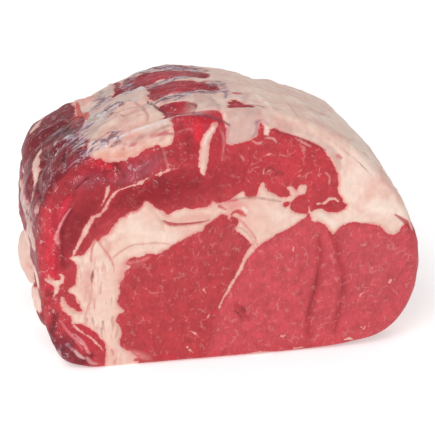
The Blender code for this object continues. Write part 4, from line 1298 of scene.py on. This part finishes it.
    waxy = add(tree, "MapRange", {0: waxy, 1: 0.25, 2: 0.75, 3: 0.94, 4: 1.05})
    pale = add(tree, "VectorMath", {0: pale, "Scale": waxy}, operation="SCALE")

    # Silver film: a bluish white layer in streaks that run round the joint, partly the film's own colour and
    # partly painted wet sheen, dark between, with painted glints of light
    filmed = add(tree, "MapRange", {0: film, 1: 0.05, 2: 0.4}, interpolation_type="SMOOTHSTEP")
    between = add(tree, "TexNoise", {"Vector": wrap, "Scale": 1 / FILM_HOLE, "Detail": 4.0, "Roughness": 0.6})
    hole = add(tree, "MapRange", {0: between, 1: 0.52, 2: 0.40, 4: 0.75}, interpolation_type="SMOOTHSTEP")
    hole = add(tree, "Math", {0: hole, 1: filmed}, operation="MULTIPLY")
    veil_and_sheen = add(tree, "MapRange", {0: streak, 1: 0.32, 2: 0.68, 3: -0.7, 4: 0.7})
    veil_and_sheen = add(tree, "Math", {0: film, 1: veil_and_sheen}, operation="ADD")
    veil_and_sheen = add(tree, "MapRange", {0: veil_and_sheen, 1: 0.4, 2: 1.0, 4: 0.85}, interpolation_type="SMOOTHSTEP")
    veil_and_sheen = add(tree, "Math", {0: veil_and_sheen, 1: filmed}, operation="MULTIPLY")
    # Painted glints: small spots of white light on the wet film
    painted_glint = add(tree, "TexNoise", {"Vector": wrap, "Scale": 1 / PAINTED_GLINT, "Detail": 3.0, "Roughness": 0.6})
    painted_glint = add(tree, "MapRange", {0: painted_glint, 1: 0.56, 2: 0.64}, interpolation_type="SMOOTHSTEP")
    painted_glint = add(tree, "Math", {0: painted_glint, 1: filmed}, operation="MULTIPLY")
    painted_glint = add(tree, "Math", {0: painted_glint, 1: film}, operation="MULTIPLY")

    base = add(tree, "Mix", {0: fat, 6: lean, 7: pale}, out=2, data_type="RGBA")
    base = add(tree, "Mix", {0: line, 6: base, 7: line_tone}, out=2, data_type="RGBA")
    base = add(tree, "Mix", {0: veil_and_sheen, 6: base, 7: rgba(FILM_GREY_AND_SHEEN)}, out=2, data_type="RGBA")
    base = add(tree, "Mix", {0: hole, 6: base, 7: rgba(FILM_HOLE_RED)}, out=2, data_type="RGBA")
    base = add(tree, "Mix", {0: painted_glint, 6: base, 7: rgba(PAINTED_GLINT_WHITE)}, out=2, data_type="RGBA")
    # Painted glints of light: small white drops of wet, in clusters where the lean is loose and wet
    painted_sparkle = add(tree, "TexNoise", {"Vector": mm, "Scale": 1 / PAINTED_SPARKLE, "Detail": 1.0, "Distortion": 1.2})
    painted_sparkle = add(tree, "MapRange", {0: painted_sparkle, 1: 0.55, 2: 0.70, 4: 0.7}, interpolation_type="SMOOTHSTEP")
    cluster = add(tree, "MapRange", {0: broken_up, 1: 0.5, 2: 0.62}, interpolation_type="SMOOTHSTEP")
    cluster = add(tree, "Math", {0: cluster, 1: loose_and_sparkle}, operation="MULTIPLY")
    painted_sparkle = add(tree, "Math", {0: painted_sparkle, 1: cluster}, operation="MULTIPLY")
    base = add(tree, "Mix", {0: painted_sparkle, 6: base, 7: rgba(PAINTED_SPARKLE_WHITE)}, out=2, data_type="RGBA")

    rough = add(tree, "MapRange", {0: fat, 3: 0.50, 4: 0.48})
    rough = add(tree, "Mix", {0: veil_and_sheen, 2: rough, 3: 0.2})
    height = add(tree, "Mix", {0: fat, 2: thread, 3: lobes})
    height = add(tree, "Mix", {0: film, 2: height, 3: streak})
    deep = add(tree, "MapRange", {0: fat, 3: 0.3, 4: 0.6})
    deep = add(tree, "Mix", {0: film, 2: deep, 3: 1.8})
    height = add(tree, "Math", {0: height, 1: deep}, operation="MULTIPLY")
    bumps = add(tree, "Bump", {"Height": height, "Distance": MM, "Strength": 0.8})
    shader = add(tree, "BsdfPrincipled", {
        "Base Color": base,
        "Roughness": rough,
        "Normal": bumps,
        "IOR": 1.42,
        "Specular IOR Level": 0.25,
        "Subsurface Weight": 0.08,
        "Subsurface Radius": (1.0, 0.35, 0.25),
        "Subsurface Scale": 1.5 * MM,
        "Coat Weight": 0.10,
        "Coat Roughness": 0.15,
    })
    add(tree, "OutputMaterial", {"Surface": shader})
    return material


def pale_floor():
    """Matt white board under the joint, wide enough to fill the view from any side."""
    reach = FLOOR_REACH * MM
    mesh = bpy.data.meshes.new("floor")
    corners = [(-reach, -reach, 0), (reach, -reach, 0), (reach, reach, 0), (-reach, reach, 0)]
    mesh.from_pydata(corners, [], [(0, 1, 2, 3)])
    material = bpy.data.materials.new("matt_white_floor")
    material.use_nodes = True
    shader = material.node_tree.nodes["Principled BSDF"]
    shader.inputs["Base Color"].default_value = rgba(FLOOR_WHITE)
    shader.inputs["Roughness"].default_value = 0.9
    shader.inputs["Emission Color"].default_value = (1, 1, 1, 1)
    shader.inputs["Emission Strength"].default_value = FLOOR_GLOW
    mesh.materials.append(material)
    floor = bpy.data.objects.new("floor", mesh)
    bpy.context.scene.collection.objects.link(floor)
    return floor


def aimed(name, data, place, target):
    """An object at a place in mm, turned to look at another."""
    thing = bpy.data.objects.new(name, data)
    thing.location = Vector(place) * MM
    away = Vector(place) - Vector(target)
    thing.rotation_mode = "QUATERNION"
    thing.rotation_quaternion = away.to_track_quat("Z", "Y")
    bpy.context.scene.collection.objects.link(thing)
    return thing


def soft_light(name, place, width, watts):
    """A square lamp with a soft edge, aimed at the middle of the joint."""
    lamp = bpy.data.lights.new(name, "AREA")
    lamp.size = width * MM
    lamp.energy = watts
    return aimed(name, lamp, place, LIT_MIDDLE)


def studio():
    """White surroundings, a large key lamp high at the front left, and a camera looking down at the cut."""
    world = bpy.data.worlds.new("white_studio")
    world.use_nodes = True
    world.node_tree.nodes["Background"].inputs["Color"].default_value = (1, 1, 1, 1)
    world.node_tree.nodes["Background"].inputs["Strength"].default_value = AMBIENT
    bpy.context.scene.world = world
    soft_light("key_lamp", KEY_PLACE, KEY_WIDTH, KEY_WATTS)
    turn, rise = math.radians(CAMERA_AZIMUTH), math.radians(CAMERA_ELEVATION)
    back = Vector((math.sin(turn) * math.cos(rise), -math.cos(turn) * math.cos(rise), math.sin(rise)))
    lens = bpy.data.cameras.new("camera")
    lens.lens = CAMERA_LENS
    lens.sensor_width = CAMERA_SENSOR
    place = Vector(CAMERA_TARGET) + back * CAMERA_DISTANCE
    bpy.context.scene.camera = aimed("camera", lens, place, CAMERA_TARGET)
    bpy.context.scene.view_settings.view_transform = "Standard"


roast = make_roast()
roast.data.materials.append(raw_beef())
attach(roast, "root")
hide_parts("roast")
pale_floor()
studio()
